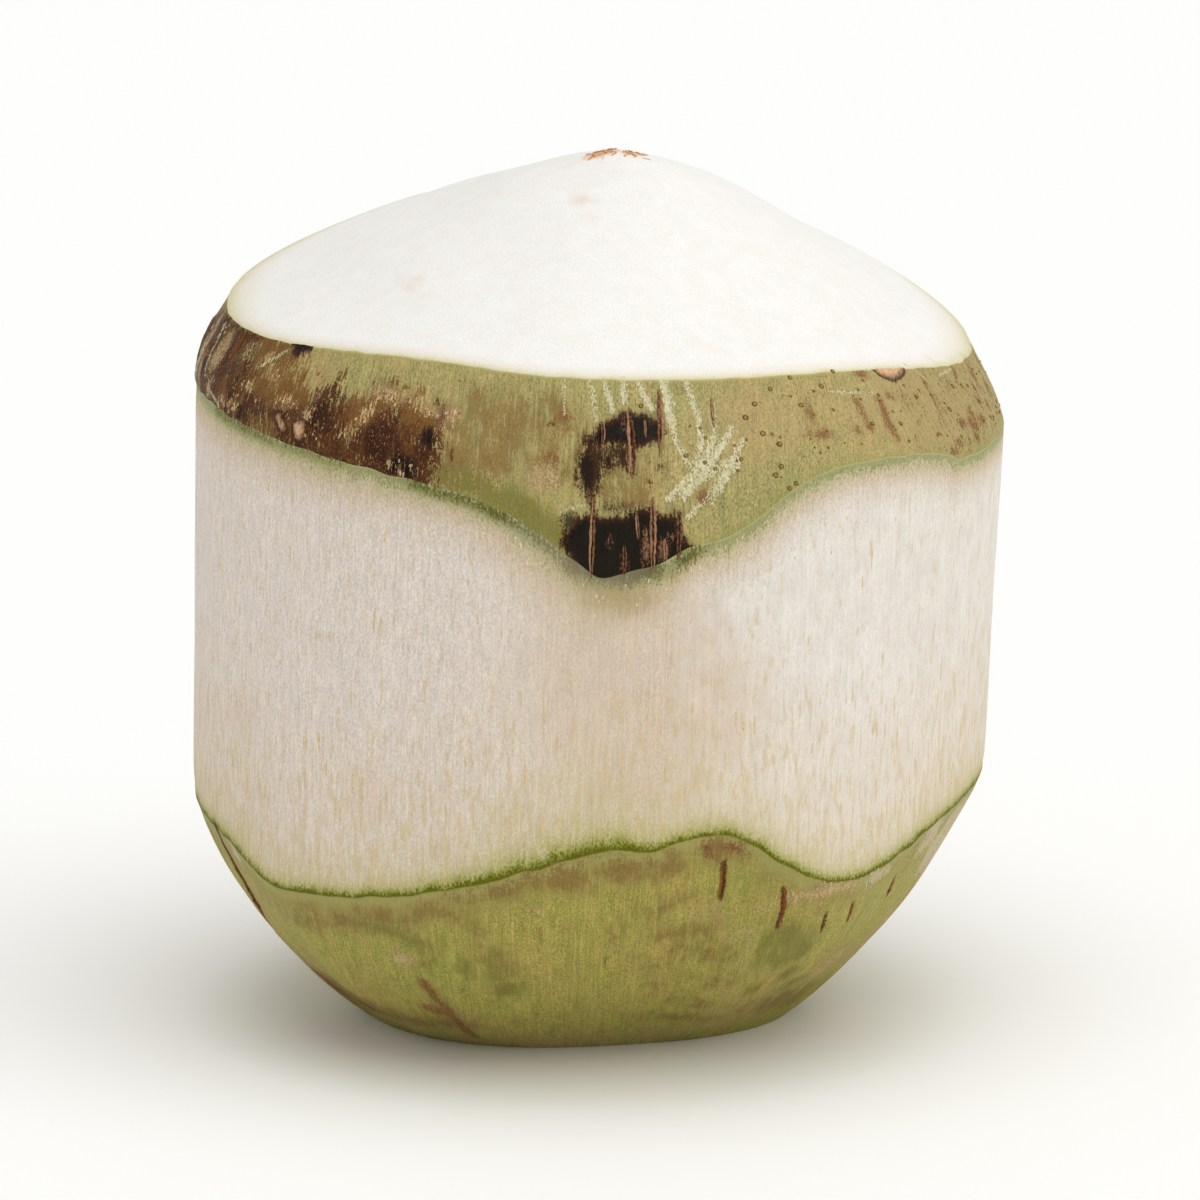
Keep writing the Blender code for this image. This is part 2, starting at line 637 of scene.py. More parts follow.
GRAZES = (
    Trail(((-6.4, 104.6), (-5.8, 99.8)), 0.26),
    Trail(((-2.4, 104.6), (-1.6, 102.5), (-1.0, 98.9)), 0.34),
    Trail(((0.1, 104.6), (0.6, 102.7), (1.5, 100.2)), 0.55),
    Trail(((3.0, 104.6), (3.5, 101.4)), 0.6),
    Trail(((5.5, 104.5), (6.1, 102.7), (7.8, 100.4)), 0.62),
    Trail(((9.6, 104.3), (10.4, 101.7), (10.6, 98.6)), 0.8),
    Trail(((10.6, 98.6), (11.4, 95.4), (13.1, 92.9)), 0.48),
    Trail(
        ((13.3, 104.2), (14.1, 102.1), (15.0, 98.9), (15.0, 96.2), (14.4, 94.1), (13.5, 93.0)),
        0.54,
    ),
    Trail(((18.0, 100.6), (17.1, 97.7), (17.2, 96.4)), 0.34),
    Trail(((17.2, 96.4), (15.4, 94.0), (14.0, 92.4), (11.2, 90.1), (9.6, 88.7)), 0.64),
    Trail(((11.6, 88.9), (14.4, 91.6), (17.2, 94.4), (20.0, 97.3)), 0.68),
    Trail(((12.2, 86.2), (14.0, 87.8), (16.0, 89.6), (18.6, 92.3), (21.4, 96.0)), 0.54),
    Trail(((13.4, 90.4), (16.2, 91.8), (18.8, 93.6)), 0.44),
    Trail(((15.6, 88.2), (18.5, 91.6), (20.4, 93.2)), 0.48),
    Trail(((-5.6, 87.2), (-2.0, 88.1)), 0.24),
    Trail(((38.0, 100.8), (47.5, 99.8)), 0.24),
    Trail(((60.0, 102.6), (63.4, 99.4)), 0.2),
    Trail(((67.5, 99.7), (72.5, 99.9)), 0.24),
    Trail(((-57.0, 104.9), (-58.6, 103.9), (-61.0, 102.2)), 0.34),
    Trail(((-72.4, 97.6), (-68.6, 96.3), (-67.0, 95.6)), 0.26),
    Trail(((-79.2, 105.5), (-77.0, 102.0), (-75.2, 98.6)), 0.35),
    Trail(((120.0, 97.0), (126.0, 92.0)), 0.4),
    Trail(((-140.0, 96.0), (-136.0, 91.0)), 0.4),
)
SCURF = Area((
    (-97, 104.0), (-84, 106.8), (-75, 107.2), (-66, 106.6), (-64, 102.6), (-58, 99.6), (-54, 98.4),
    (-50, 99.0), (-46, 99.4), (-44, 103.4), (-42.6, 103.0), (-41.4, 100.2), (-38.4, 99.8),
    (-37.4, 96.0), (-36, 97.8), (-33, 99.6), (-30, 99.2), (-27, 97.6), (-25.2, 94.8), (-23.4, 98.8),
    (-22.8, 96.0), (-24.2, 88.8), (-32, 89.0), (-50, 91.0), (-52, 95.4), (-56, 95.6), (-60, 92.0),
    (-80, 93.0), (-97, 95.0),
))
SUNNED = Area((
    (-97, 106.0), (-84, 108.0), (-70, 108.0), (-60, 107.4), (-53, 106.6), (-52, 103.6),
    (-49, 101.0), (-45.6, 101.4), (-41, 100.8), (-37, 101.0), (-35, 103.2), (-30, 102.8),
    (-27, 101.0), (-23.4, 99.6), (-23, 89.0), (-60, 91.0), (-97, 93.0),
))
SKIN_STAINS = (
    # Paler tan where the skin has dried, and along the foot painted light
    Stain(
        "dried_and_foot_light", "#b19b68", "#ab9966",
        patches(
            (64, 98, 34, 13), (24, 98, 12, 9), (82, 13, 18, 10), (20, 27, 6, 4), (27, 23, 5, 5),
            (31, 17, 4, 4), (33, 11, 6, 4), (-31, 19, 4, 4), (-100, 20, 12, 14), (150, 99, 20, 8),
            # These last three patches, along the foot, are painted light: they lighten the skin
            # there as light from the bright floor would
            (0, 1.5, 42, 6), (44, 5, 14, 6), (-48, 3, 16, 5),
        ),
        soft=7.0, cloudy=2.2, streaky=1.4, specky=0.8, cover=0.75, uneven=0.16,
    ),
    Stain(
        "mottle", "#816535", "#8e7743",
        patches(
            (-15, 98, 11, 6.5), (-9, 96.5, 8, 7.5), (-20, 95, 6, 6.5), (3.4, 91.5, 4.5, 5.5),
            (-46, 23, 8, 1.8), (-38, 24.4, 8, 2.2), (-30, 26.2, 7, 2.2), (-24, 27.4, 4, 1.6),
            (-12, 32.6, 6, 2.2), (-4, 34.4, 7, 3.0), (3, 36.0, 8, 3.2), (9, 35.6, 6, 3.0),
            (12, 28.6, 4, 2), (17, 23.6, 4, 2.6), (22, 20, 3.4, 2), (8, 24.6, 3, 1.6),
            (19.5, 37.6, 4.6, 2.8), (-16, 93.6, 6, 3.2), (-27.4, 18.4, 1.6, 4.2),
            (-18, 30, 0.9, 3.5), (-17.4, 25, 0.8, 3), (14, 17.5, 2, 1.4), (15, 13.3, 1.6, 1.4),
            (26, 14.3, 2.2, 1.4), (26, 9.3, 2.4, 1.2), (-70, 5, 4, 6), (-56, 7, 9, 3.4, 20),
            (-40, 5, 8, 2.4), (26, 6, 8, 1.6), (58, 6, 10, 3.6), (-118, 99, 11, 6),
            (152, 96, 13, 7), (-158, 94, 8, 4), (112, 30, 10, 4), (-150, 28, 11, 5),
            (176, 16, 9, 6), (-112, 20, 7, 6),
        ),
        soft=2.0, cloudy=1.7, streaky=1.4, specky=2.0, deepest=1.5, cover=0.82, uneven=0.24,
    ),
    Stain(
        "moss", "#7b7536", "#868039",
        (
            Trail(((-32.4, 24.4), (-28.5, 23.0), (-25.0, 21.8)), 1.9),
            Trail(((-27.0, 93.4), (-16.0, 90.0), (-10.0, 87.2), (-5.0, 84.0), (-3.0, 82.0)), 2.4),
            Area((
                (29, 25), (34, 25.4), (39, 22.8), (43, 20), (43.4, 16.4), (38, 14.8), (34, 16),
                (31, 19),
            )),
            *patches(
                (-20.5, 17.7, 1.6, 2.8), (-15, 18.6, 3.0, 4.6), (-15.2, 14, 3.4, 3.0),
                (37.5, 11.6, 1.7, 1.9), (49, 10.4, 3.4, 2.4, 20), (43, 13.5, 2.4, 2.6),
                (10.2, 19.5, 2, 1.2), (27, 18.1, 1.3, 1.8), (128, 22, 6, 5), (-138, 17, 5, 4),
                (-172, 27, 4, 3), (98, 12, 4, 4),
            ),
        ),
        soft=1.8, cloudy=-1.0, streaky=0.8, specky=1.4, deepest=1.8, cover=0.88, uneven=0.16,
    ),
    Stain(
        "rust", "#673220", "#8b5c37",
        (
            Trail(((47.6, 98.8), (46.6, 97.0), (46.0, 95.4), (46.3, 94.2)), 0.75),
            Trail(((62.2, 99.4), (61.5, 97.3), (60.6, 95.4)), 0.45),
            Trail(((42.8, 99.4), (42.2, 96.0)), 0.6),
            Trail(((-29.8, 15.0), (-29.8, 9.0), (-31.2, 2.6)), 1.1),
            *patches(
                (50.5, 98.9, 0.9, 0.8, 40), (39.8, 96, 0.7, 0.9), (47.8, 102.2, 1.4, 0.8),
                (32.8, 98.6, 0.7, 2), (33, 96, 2.2, 0.8), (-5.6, 99.4, 0.8, 1), (80, 98, 0.9, 2.2),
                (84, 95.6, 0.9, 1.6), (77, 96.6, 0.7, 1.2), (88, 99, 1, 2.2), (73, 99.6, 0.7, 1.2),
                (83.4, 102, 0.8, 1.5), (79, 93.8, 0.9, 1), (75, 94.9, 0.8, 1.1),
                (68.2, 92.8, 1.8, 1.4), (65.6, 93.4, 1.5, 0.9), (71.9, 92.8, 1.6, 1),
                (69.8, 94, 1, 1.4), (67.4, 91.2, 1, 1.6), (59.2, 90.4, 1.1, 0.8),
                (61.6, 91.2, 1, 0.8), (-32, 8.4, 3.0, 1.9, 30), (17, 38, 2.4, 0.8, 66),
                (20.6, 38, 1.4, 0.9), (14.6, 88.8, 1.5, 1.1), (-7, 94, 1.2, 1),
                (34.2, 30.6, 1.2, 0.7), (-72, 7, 2.4, 3.6), (-58, 5.4, 5, 1.6),
                (140, 93, 2.4, 5, 12),
            ),
        ),
        soft=0.5, cloudy=0.2, streaky=0.4, specky=0.7, deepest=0.7, cover=0.86, uneven=0.24,
    ),
    Stain(
        "pepper", "#55331a", "#735029",
        (
            Area((
                (50, 92.4), (54, 100.0), (62, 101.8), (73, 101.2), (84, 100.4), (98, 100),
                (100, 92), (78, 91.6), (66, 89.6), (56, 89.6),
            )),
            *patches((60, 90.8, 3.4, 1.6), (-110, 98, 9, 5), (136, 97, 12, 5)),
        ),
        soft=0.4, cloudy=0.4, streaky=0.8, specky=0.9, deepest=-0.55, cover=0.85,
    ),
    Stain(
        "amber", "#71481b", "#8a6431",
        (SUNNED,),
        soft=1.3, cloudy=-1.5, streaky=1.5, specky=1.2, deepest=2.1, cover=0.92, uneven=0.3,
    ),
    Stain(
        "scurf", "#41200f", "#65401d",
        (SCURF, *patches((-35.4, 102.6, 1, 0.9), (-24, 99.6, 0.7, 1.2), (-104, 93, 4, 3))),
        soft=0.7, cloudy=1.5, streaky=1.5, specky=1.2, deepest=1.3, cover=0.95, uneven=0.36,
        rise=0.14,
    ),
    Stain(
        "umber", "#260f06", "#5d3417",
        (
            *patches(
                (-77, 99.4, 1.4, 4), (-64.5, 96.6, 2.4, 2.2), (-40.6, 100.2, 1.1, 1.4),
                (-43.6, 101.6, 0.9, 2, 12), (-41, 92.9, 7, 1, -6), (-60, 96.2, 2.2, 2.2),
                (-88, 98, 3, 4), (8.5, 92.9, 1, 0.8), (7.2, 90.8, 0.7, 0.7), (-7.6, 98.4, 0.7, 0.9),
                (-6.4, 93, 0.8, 0.6), (-5.4, 92.4, 0.7, 0.8), (25.8, 26.5, 0.7, 0.8),
                (26.5, 24.2, 0.9, 0.8), (10.8, 19.2, 0.9, 0.6), (14.4, 17.3, 0.9, 0.6),
                (26, 14.2, 1, 0.5), (15, 13.1, 0.8, 0.6), (-98, 101, 3, 4), (168, 98, 3, 4),
                (172, 92, 2, 2),
            ),
            Area((
                (-46, 96.9), (-45.6, 98.9), (-44.4, 100.4), (-42, 100.1), (-39.4, 97.6),
                (-39.4, 95.6), (-41, 94.6), (-44, 94.9),
            )),
            Area((
                (-36, 96.4), (-35, 97.8), (-32.4, 98.6), (-29.4, 97.3), (-28, 96.1), (-25.4, 93.6),
                (-25, 91.1), (-28, 90.0), (-30.6, 91.4), (-34.6, 92.9),
            )),
            Area((
                (-2.6, 96.5), (-3.2, 95.0), (-3.7, 93.0), (-3.6, 91.2), (-2.6, 91.1), (-2.6, 89.2),
                (-1.8, 87.2), (-0.3, 87.4), (-0.4, 89.4), (-0.3, 90.8), (0.5, 91.4), (1.0, 92.8),
                (2.0, 93.2), (3.0, 91.9), (4.0, 91.6), (5.0, 92.1), (4.5, 93.6), (4.6, 95.6),
                (2.0, 96.4),
            )),
            Trail(((-71.8, 98.2), (-66.5, 96.4)), 0.5),
        ),
        soft=1.0, band=0.9, cloudy=0.5, streaky=0.5, specky=0.5, deepest=1.1, cover=0.94,
        uneven=0.32, rise=0.06,
    ),
    Stain(
        "fleck", "#c49a6a", "#9a6a3c",
        (SCURF, Patch(24, 27, 9, 6)),
        soft=0.5, cloudy=0.5, streaky=0.7, specky=0.9, deepest=-0.65, cover=0.66, uneven=0.2,
        rise=0.05,
    ),
    Stain(
        "smoke", "#1c0c05", "#49301a",
        patches(
            (-3.6, 85.6, 2.4, 2.6, 30), (-2.2, 96.4, 1.6, 1.9), (1.2, 87.6, 4.4, 1.2),
            (-1.6, 92.6, 2.4, 4.2), (0.8, 93.8, 2, 2.2), (3.2, 96.4, 4.6, 1.4),
            (10.6, 86.6, 1.6, 1.2), (9.2, 98.6, 1.2, 1.6),
        ),
        soft=1.5, cloudy=0.5, streaky=0.4, specky=0.5, cover=0.85, uneven=0.16,
    ),
    Stain(
        "soot", "#0b0402", "#4a2611",
        (
            Area((
                (-3.0, 96.7), (-1.6, 97.4), (-0.6, 98.8), (1.4, 99.7), (3.0, 100.4), (5.0, 100.3),
                (7.0, 100.2), (8.0, 99.4), (9.5, 99.2), (9.7, 97.6), (9.4, 96.2), (8.0, 95.5),
                (5.0, 94.8), (3.0, 95.1), (0.5, 95.4), (-1.0, 95.2), (-2.4, 95.0),
            )),
            Area((
                (-5.6, 82.7), (-5.2, 84.3), (-4.2, 85.7), (-3.2, 86.7), (-1.6, 87.2), (0.2, 86.9),
                (3.0, 86.9), (4.6, 87.7), (6.5, 88.0), (7.6, 88.0), (8.6, 87.1), (11.2, 86.7),
                (11.6, 84.4), (12.6, 83.0), (13.8, 82.2), (11.6, 79.0), (4.0, 76.0), (-1.6, 76.0),
                (-4.0, 80.0),
            )),
            Trail(((-1.2, 95.0), (-1.0, 91.0), (-0.9, 87.0)), 0.5),
            Trail(((4.5, 95.6), (4.6, 92.0)), 0.5),
            Area(((-57.4, 105.4), (-56.6, 107.8), (-51.4, 107.8), (-51.8, 105.0), (-54.8, 103.6))),
            Area((
                (-31.4, 91.6), (-30.4, 94.0), (-28.6, 95.2), (-26.8, 94.4), (-25.2, 93.6),
                (-24.4, 90.8), (-27.6, 89.4),
            )),
            *patches(
                (-24.9, 96.4, 1.8, 2.2, 10), (-25.2, 94.4, 0.9, 1.6), (-46.0, 93.0, 2.2, 1.0, -8),
                (-69.6, 104.2, 0.5, 2.0, 4),
            ),
        ),
        soft=0.8, band=0.9, streaky=0.3, specky=0.35, cover=0.98, uneven=0.1, rise=0.1,
    ),
    Stain(
        "bloom", "#d6c096", "#a87f50",
        patches(
            (-33, 101, 3.4, 1.4), (-27.4, 100.2, 3.6, 1.2, 20), (-22.8, 99.4, 1.2, 2.2, 8),
            (-36, 98.8, 0.8, 3, 16), (-37.6, 96, 0.8, 1.2), (-50.8, 98.8, 2.2, 1.2),
            (-45.6, 97.4, 0.7, 1.6, 14), (-57.2, 101.9, 2.4, 1.0, 40), (-60.4, 99.6, 1.5, 1.0),
            (-60.6, 103.4, 1.0, 1.4, 40), (-63.2, 96.5, 1.6, 1.0), (-66.4, 96.8, 1.4, 0.8),
            (-28, 92, 0.8, 1.8, 6), (-29.6, 92.6, 0.6, 0.7), (-26.2, 91.8, 0.7, 0.7),
            (-47.4, 102.6, 1.8, 0.8), (36, 30.2, 4.4, 1.2, 80), (-84, 101, 3, 4),
        ),
        soft=0.5, streaky=0.9, specky=0.55, deepest=0.5, cover=0.74, uneven=0.18, rise=0.04,
    ),
    Stain(
        "peel", "#8b6548", "#4f2f1e",
        patches(
            (6.4, 82, 0.9, 3.0), (8.8, 81.8, 1.1, 2.1), (1.5, 83.2, 0.6, 1.3),
            (9.9, 83.6, 0.7, 1.0), (3.6, 80, 0.6, 1.4), (-27.8, 91.8, 0.7, 1.5, 6),
            (-26, 91.6, 0.6, 0.6), (3.2, 98.2, 0.5, 1.6),
        ),
        soft=0.4, band=0.5, streaky=0.25, specky=0.3, cover=0.85, uneven=0.25, rise=0.1,
    ),
    Stain(
        "graze", "#d8d1ac", "#c2ba8e",
        GRAZES,
        (Patch(14.6, 88.8, 1.3, 0.8),),
        soft=0.4, band=0.3, streaky=0.15, specky=0.35, deepest=0.7, cover=0.82, uneven=0.12,
    ),
    Stain(
        "ash", "#c9b79a", "#b9aa80",
        patches(
            (-62, 30.4, 2.2, 4.4, -4), (-84, 24, 4.6, 12), (76, 30, 12, 8), (61, 33.4, 7, 3.6, 40),
            (45, 30.4, 7, 2.2), (-84, 100, 3, 8),
        ),
        soft=2.4, cloudy=1.6, streaky=1.2, specky=0.8, cover=0.72,
    ),
    Stain(
        "tan", "#c0a27c", "#ad9560",
        (
            Trail(((30.6, 29.2), (34.8, 29.9), (40.6, 30.2)), 1.6),
            Trail(((26.5, 26.4), (29.4, 28.4)), 0.8),
            Trail(((14.6, 25.6), (16.6, 26.3), (19.2, 26.2)), 0.6),
            *patches(
                (-30.8, 19, 2.2, 2.4), (-21.2, 14.4, 1, 1), (-15.8, 14.9, 1.5, 0.8),
                (-8, 28.5, 2, 1), (-34, 101.4, 2.6, 1.4, 30), (-46.4, 102.9, 1.6, 0.8),
                (-66, 103.5, 1.2, 2), (-74, 102.4, 2.4, 4), (-72.6, 97.4, 1.4, 2.2),
                (-79, 99, 1.6, 3), (7.6, 102.6, 0.6, 2), (-63, 12, 3, 4), (60, 12, 4, 5),
                (-8, 91.8, 3, 2.4),
            ),
        ),
        soft=1.1, streaky=0.4, specky=0.9, deepest=1.2, cover=0.75, uneven=0.2, rise=0.03,
    ),
    Stain(
        "crack", "#3d1c0a", "#70401f",
        (
            Trail(((20.0, 35.8), (20.7, 32.4), (21.2, 29.2)), 0.62),
            Trail(((29.6, 31.2), (31.0, 27.6), (31.8, 23.8)), 0.55),
            Trail(((39.2, 25.6), (41.6, 21.4)), 0.4), Trail(((43.8, 26.8), (47.2, 22.2)), 0.36),
            Trail(((54.6, 28.8), (58.4, 23.0)), 0.4),
            Trail(
                ((-68.8, 33.2), (-68.4, 29.3), (-68.4, 25.0), (-69.6, 20.4), (-73.0, 16.3)),
                0.95,
            ),
            Trail(((-69.5, 106.6), (-69.8, 104.4), (-69.8, 101.6)), 0.34),
            Trail(((-7.1, 26.0), (-7.1, 22.2)), 0.2), Trail(((3.6, 20.5), (3.8, 17.5)), 0.22),
            Trail(((148.0, 34.0), (150.0, 26.0)), 0.5),
            Trail(((-128.0, 31.0), (-127.0, 25.0)), 0.45),
        ),
        soft=0.35, band=0.4, streaky=0.12, specky=0.25, cover=0.88, uneven=0.15, rise=-0.22,
    ),
    Stain(
        "scar", "#ddb086", "#42200c",
        (
            Area((
                (50.2, 104.6), (50.6, 102.6), (51.8, 101.1), (53.8, 100.3), (56.6, 100.4),
                (58.8, 101.0), (60.0, 102.6), (59.6, 104.4),
            )),
            Area((
                (-48.1, 96.5), (-46.6, 97.2), (-45.0, 96.8), (-44.4, 95.2), (-45.2, 93.6),
                (-46.8, 93.8), (-47.6, 95.0),
            )),
            Trail(((-51.0, 96.6), (-49.4, 95.2)), 0.95),
        ),
        soft=0.25, band=0.75, streaky=0.1, specky=0.12, cover=0.94, uneven=0.16, rise=0.18,
    ),
)
SIDE_TINTS = (
    # Darker, pinker tone over the left, the front and the back left of the cut side: partly the
    # pith's own tone, partly painted shade of the side turned away from the right-hand light
    Stain(
        "flush_and_left_shade", "#dfd2c6", "#e0d6cb",
        (Patch(-50, 60, 75, 60), Patch(-10, 60, 22, 60), Patch(-140, 60, 40, 60)),
        soft=8.0, cloudy=1.5, cover=0.8,
    ),
    Stain(
        "blush", "#dab394", "#dcc0a6",
        (Patch(-32, 45.5, 6.0, 6.5), Patch(-60, 52.0, 6.0, 5.0), Patch(-112, 60, 8, 9)),
        soft=6.0, cloudy=1.5, streaky=1.5, cover=0.35,
    ),
    Stain(
        "warmth", "#c39d6c", "#d9bb92",
        (Patch(0.5, 75.0, 14.0, 8.0), Patch(7, 60, 20, 22), Patch(-8, 78, 13, 6, 40)),
        soft=11.0, cloudy=1.6, streaky=1.6, specky=1.2, cover=0.42,
    ),
)
SIDE_STAINS = (
    Stain(
        "sap", "#a1874f", "#bb9f70",
        (
            Patch(3.5, 75.2, 7.5, 3.6), Patch(-3.0, 78.0, 5.4, 2.2, 40),
            Patch(10.0, 78.4, 3.6, 2.0, -36),
        ),
        soft=3.0, band=1.4, cloudy=0.6, streaky=1.1, specky=1.3, cover=0.78,
    ),
    # Dark green along the skin's upper edge: green seeping into the pith, and below the black patch
    # at the V also painted shadow
    Stain(
        "seepage_and_shadow", "#433a0e", "#73742f",
        (
            Trail(((-68.0, 95.1), (-60.0, 94.3), (-52.0, 93.6)), 1.3),
            Trail(((-52.0, 93.6), (-38.0, 92.1)), 0.9),
            Trail(((-26.0, 90.3), (-16.0, 88.0), (-10.0, 85.0), (-5.0, 81.4)), 1.4),
            Trail(((-3.6, 80.2), (-0.5, 78.6), (3.0, 78.1), (7.4, 79.0)), 2.1),
            Patch(12.0, 80.6, 4.0, 1.6, -34),
        ),
        soft=1.2, band=1.3, streaky=0.6, specky=0.9, cover=0.9, uneven=0.2,
    ),
)
TOP_STAINS = (
    Stain(
        "pinkish", "#ead3bd", "#efe0d2",
        (
            Patch(-20, 124.6, 3.4, 2.6), Patch(-8, 122.0, 2.0, 3.0), Patch(-75, 127.6, 3.0, 1.8),
            Patch(-49, 113.6, 5.0, 2.6), Patch(20, 107.5, 7.0, 2.0), Patch(-150, 112.0, 6.0, 4.0),
        ),
        soft=3.4, cloudy=1.0, specky=0.6, cover=0.6,
    ),
    Stain(
        "freckle", "#d9b48c", "#e8cfb0",
        (
            Patch(-47.0, 115.6, 0.6, 0.5), Patch(-38.5, 114.0, 0.8, 0.6),
            Patch(-32.5, 112.8, 0.7, 0.5), Patch(-28.0, 126.6, 0.6, 0.5),
            Patch(150.0, 114.0, 0.8, 0.6),
        ),
        soft=0.7, specky=0.3, cover=0.55,
    ),
    Stain(
        "nick", "#a9b06c", "#c3c68c",
        (Trail(((68.8, 102.6), (69.4, 101.4), (69.8, 100.6)), 0.3),),
        soft=0.25, band=0.2, specky=0.1, cover=0.85,
    ),
    Stain(
        "stem", "#dba36c", "#efd0ab",
        (Patch(-90, 129.45, 3.0, 3.0), Patch(60, 129.4, 2.2, 2.2)),
        soft=1.2, specky=0.7, cover=0.85, uneven=0.25,
    ),
)


class Pattern(Enum):
    """Coordinates that a material's grain is laid on."""

    WRAP = "wrap"
    SOLID = "solid"


@dataclass(frozen=True)
class Grain:
    """Fine noise in grains of `across` by `along` millimetres up the fibres."""

    across: float
    along: float
    detail: float
    shift: float = 0.0


@dataclass(frozen=True)
class Margin:
    """Colour that lies next to one edge of the skin.

    `gap` names the distance from that edge. Blotches, streaks and specks move it by `wander`
    millimetres. `stops` are distances with their colour and cover, from the edge inwards.
    """

    gap: str
    wander: Triple
    stops: tuple[tuple[float, str, float], ...]


class Painter:
    """A new material's node tree, and the patterns that the finishes share."""

    GRAIN_ROUGHNESS: float = 0.6
    NOISE_RANGE: Pair = (0.3, 0.7)
    SHIFT_WAY: Triple = (1.0, 0.7, 1.3)

    def __init__(self, name: str, pattern: Pattern) -> None:
        """Makes an empty material.

        Args:
            name: Name of the material.
            pattern: Coordinates that its grain is laid on.
        """
        self.material = bpy.data.materials.new(name)
        self.material.use_nodes = True
        self.tree = self.material.node_tree
        self.tree.nodes.clear()
        if pattern is Pattern.WRAP:
            wrap = self.add("ShaderNodeAttribute", attribute_name="wrap")
            self.place = wrap.outputs["Vector"]
            self.unit = 1.0
        else:
            self.place = self.add("ShaderNodeTexCoord").outputs["Object"]
            self.unit = MM

    def add(self, kind: str, sockets: dict | None = None, **settings: object) -> bpy.types.Node:
        """Adds a node to the material."""
        return add_node(self.tree, kind, sockets, **settings)

    def grain(self, grain: Grain) -> bpy.types.Node:
        """Adds a fine noise.

        Args:
            grain: Its sizes.

        Returns:
            Its value, from about -1 to 1.
        """
        wide, high = 1.0 / (grain.across * self.unit), 1.0 / (grain.along * self.unit)
        sockets = {"Vector": self.place, "Scale": (wide, wide, high)}
        sockets["Location"] = tuple(grain.shift * way for way in self.SHIFT_WAY)
        laid = self.add("ShaderNodeMapping", sockets)
        sockets = {"Vector": laid, "Scale": 1.0, "Detail": grain.detail}
        sockets["Roughness"] = self.GRAIN_ROUGHNESS
        noise = self.add("ShaderNodeTexNoise", sockets)
        return self.spread(noise, self.NOISE_RANGE, (-1.0, 1.0), clamp=False)

    def spread(
        self,
        value: object,
        given: Pair = (-1.0, 1.0),
        wanted: Pair = (0.0, 1.0),
        **settings: object,
    ) -> bpy.types.Node:
        """Moves a value from one range to another.

        Args:
            value: The value.
            given: The range that it has.
            wanted: The range that it gets.
            settings: Properties of the node.

        Returns:
            The moved value.
        """
        sockets = {"Value": value, "From Min": given[0], "From Max": given[1]}
        sockets.update({"To Min": wanted[0], "To Max": wanted[1]})
        return self.add("ShaderNodeMapRange", sockets, **settings)

    def blend(self, share: object, under: object, over: object) -> bpy.types.Node:
        """One colour laid over another by a share. A colour may be a hex value."""
        low, high = (linear(tone) if isinstance(tone, str) else tone for tone in (under, over))
        return self.add("ShaderNodeMix", {"Factor": share, "A": low, "B": high}, data_type="RGBA")

    def plus(self, value: object, noise: object, amount: float) -> object:
        """Adds noise to a value.

        Args:
            value: The value.
            noise: The noise.
            amount: How much of the noise is added.

        Returns:
            The sum, or the value itself where the amount is nothing.
        """
        if not amount:
            return value
        return self.add("ShaderNodeMath", {0: noise, 1: amount, 2: value}, operation="MULTIPLY_ADD")

    def attribute(self, name: str) -> bpy.types.NodeSocket:
        """Value of one of the mesh's own number attributes."""
        return self.add("ShaderNodeAttribute", attribute_name=name).outputs["Fac"]

    def distance(self, name: str) -> bpy.types.Node:
        """Distance from one of the edges, in millimetres, on either side of it."""
        return self.add("ShaderNodeMath", {0: self.attribute(name)}, operation="ABSOLUTE")

    def shade(self, colour: object, noise: object, amount: float) -> bpy.types.Node:
        """A colour whose value goes down and up with noise by a share of itself."""
        level = self.plus(1.0, noise, amount)
        return self.add("ShaderNodeVectorMath", {0: colour, "Scale": level}, operation="SCALE")

    def finish(
        self,
        colour: object,
        height: object,
        relief: float,
        roughness: object,
        shine: float = 0.5,
        ior: float = 1.45,
    ) -> bpy.types.Material:
        """Ends the material.

        Args:
            colour: Base colour.
            height: Fine relief, about 1 from its hollows to its heights.
            relief: Depth of that relief in millimetres.
            roughness: Roughness.
            shine: Level of the mirror-like reflection, 0.5 for a clean surface.
            ior: Index of refraction.

        Returns:
            The finished material.
        """
        bump = self.add("ShaderNodeBump", {"Height": height, "Distance": relief * MM})
        sockets = {"Base Color": colour, "Roughness": roughness, "Normal": bump}
        sockets.update({"IOR": ior, "Specular IOR Level": shine})
        surface = self.add("ShaderNodeBsdfPrincipled", sockets)
        self.add("ShaderNodeOutputMaterial", {"Surface": surface})
        return self.material


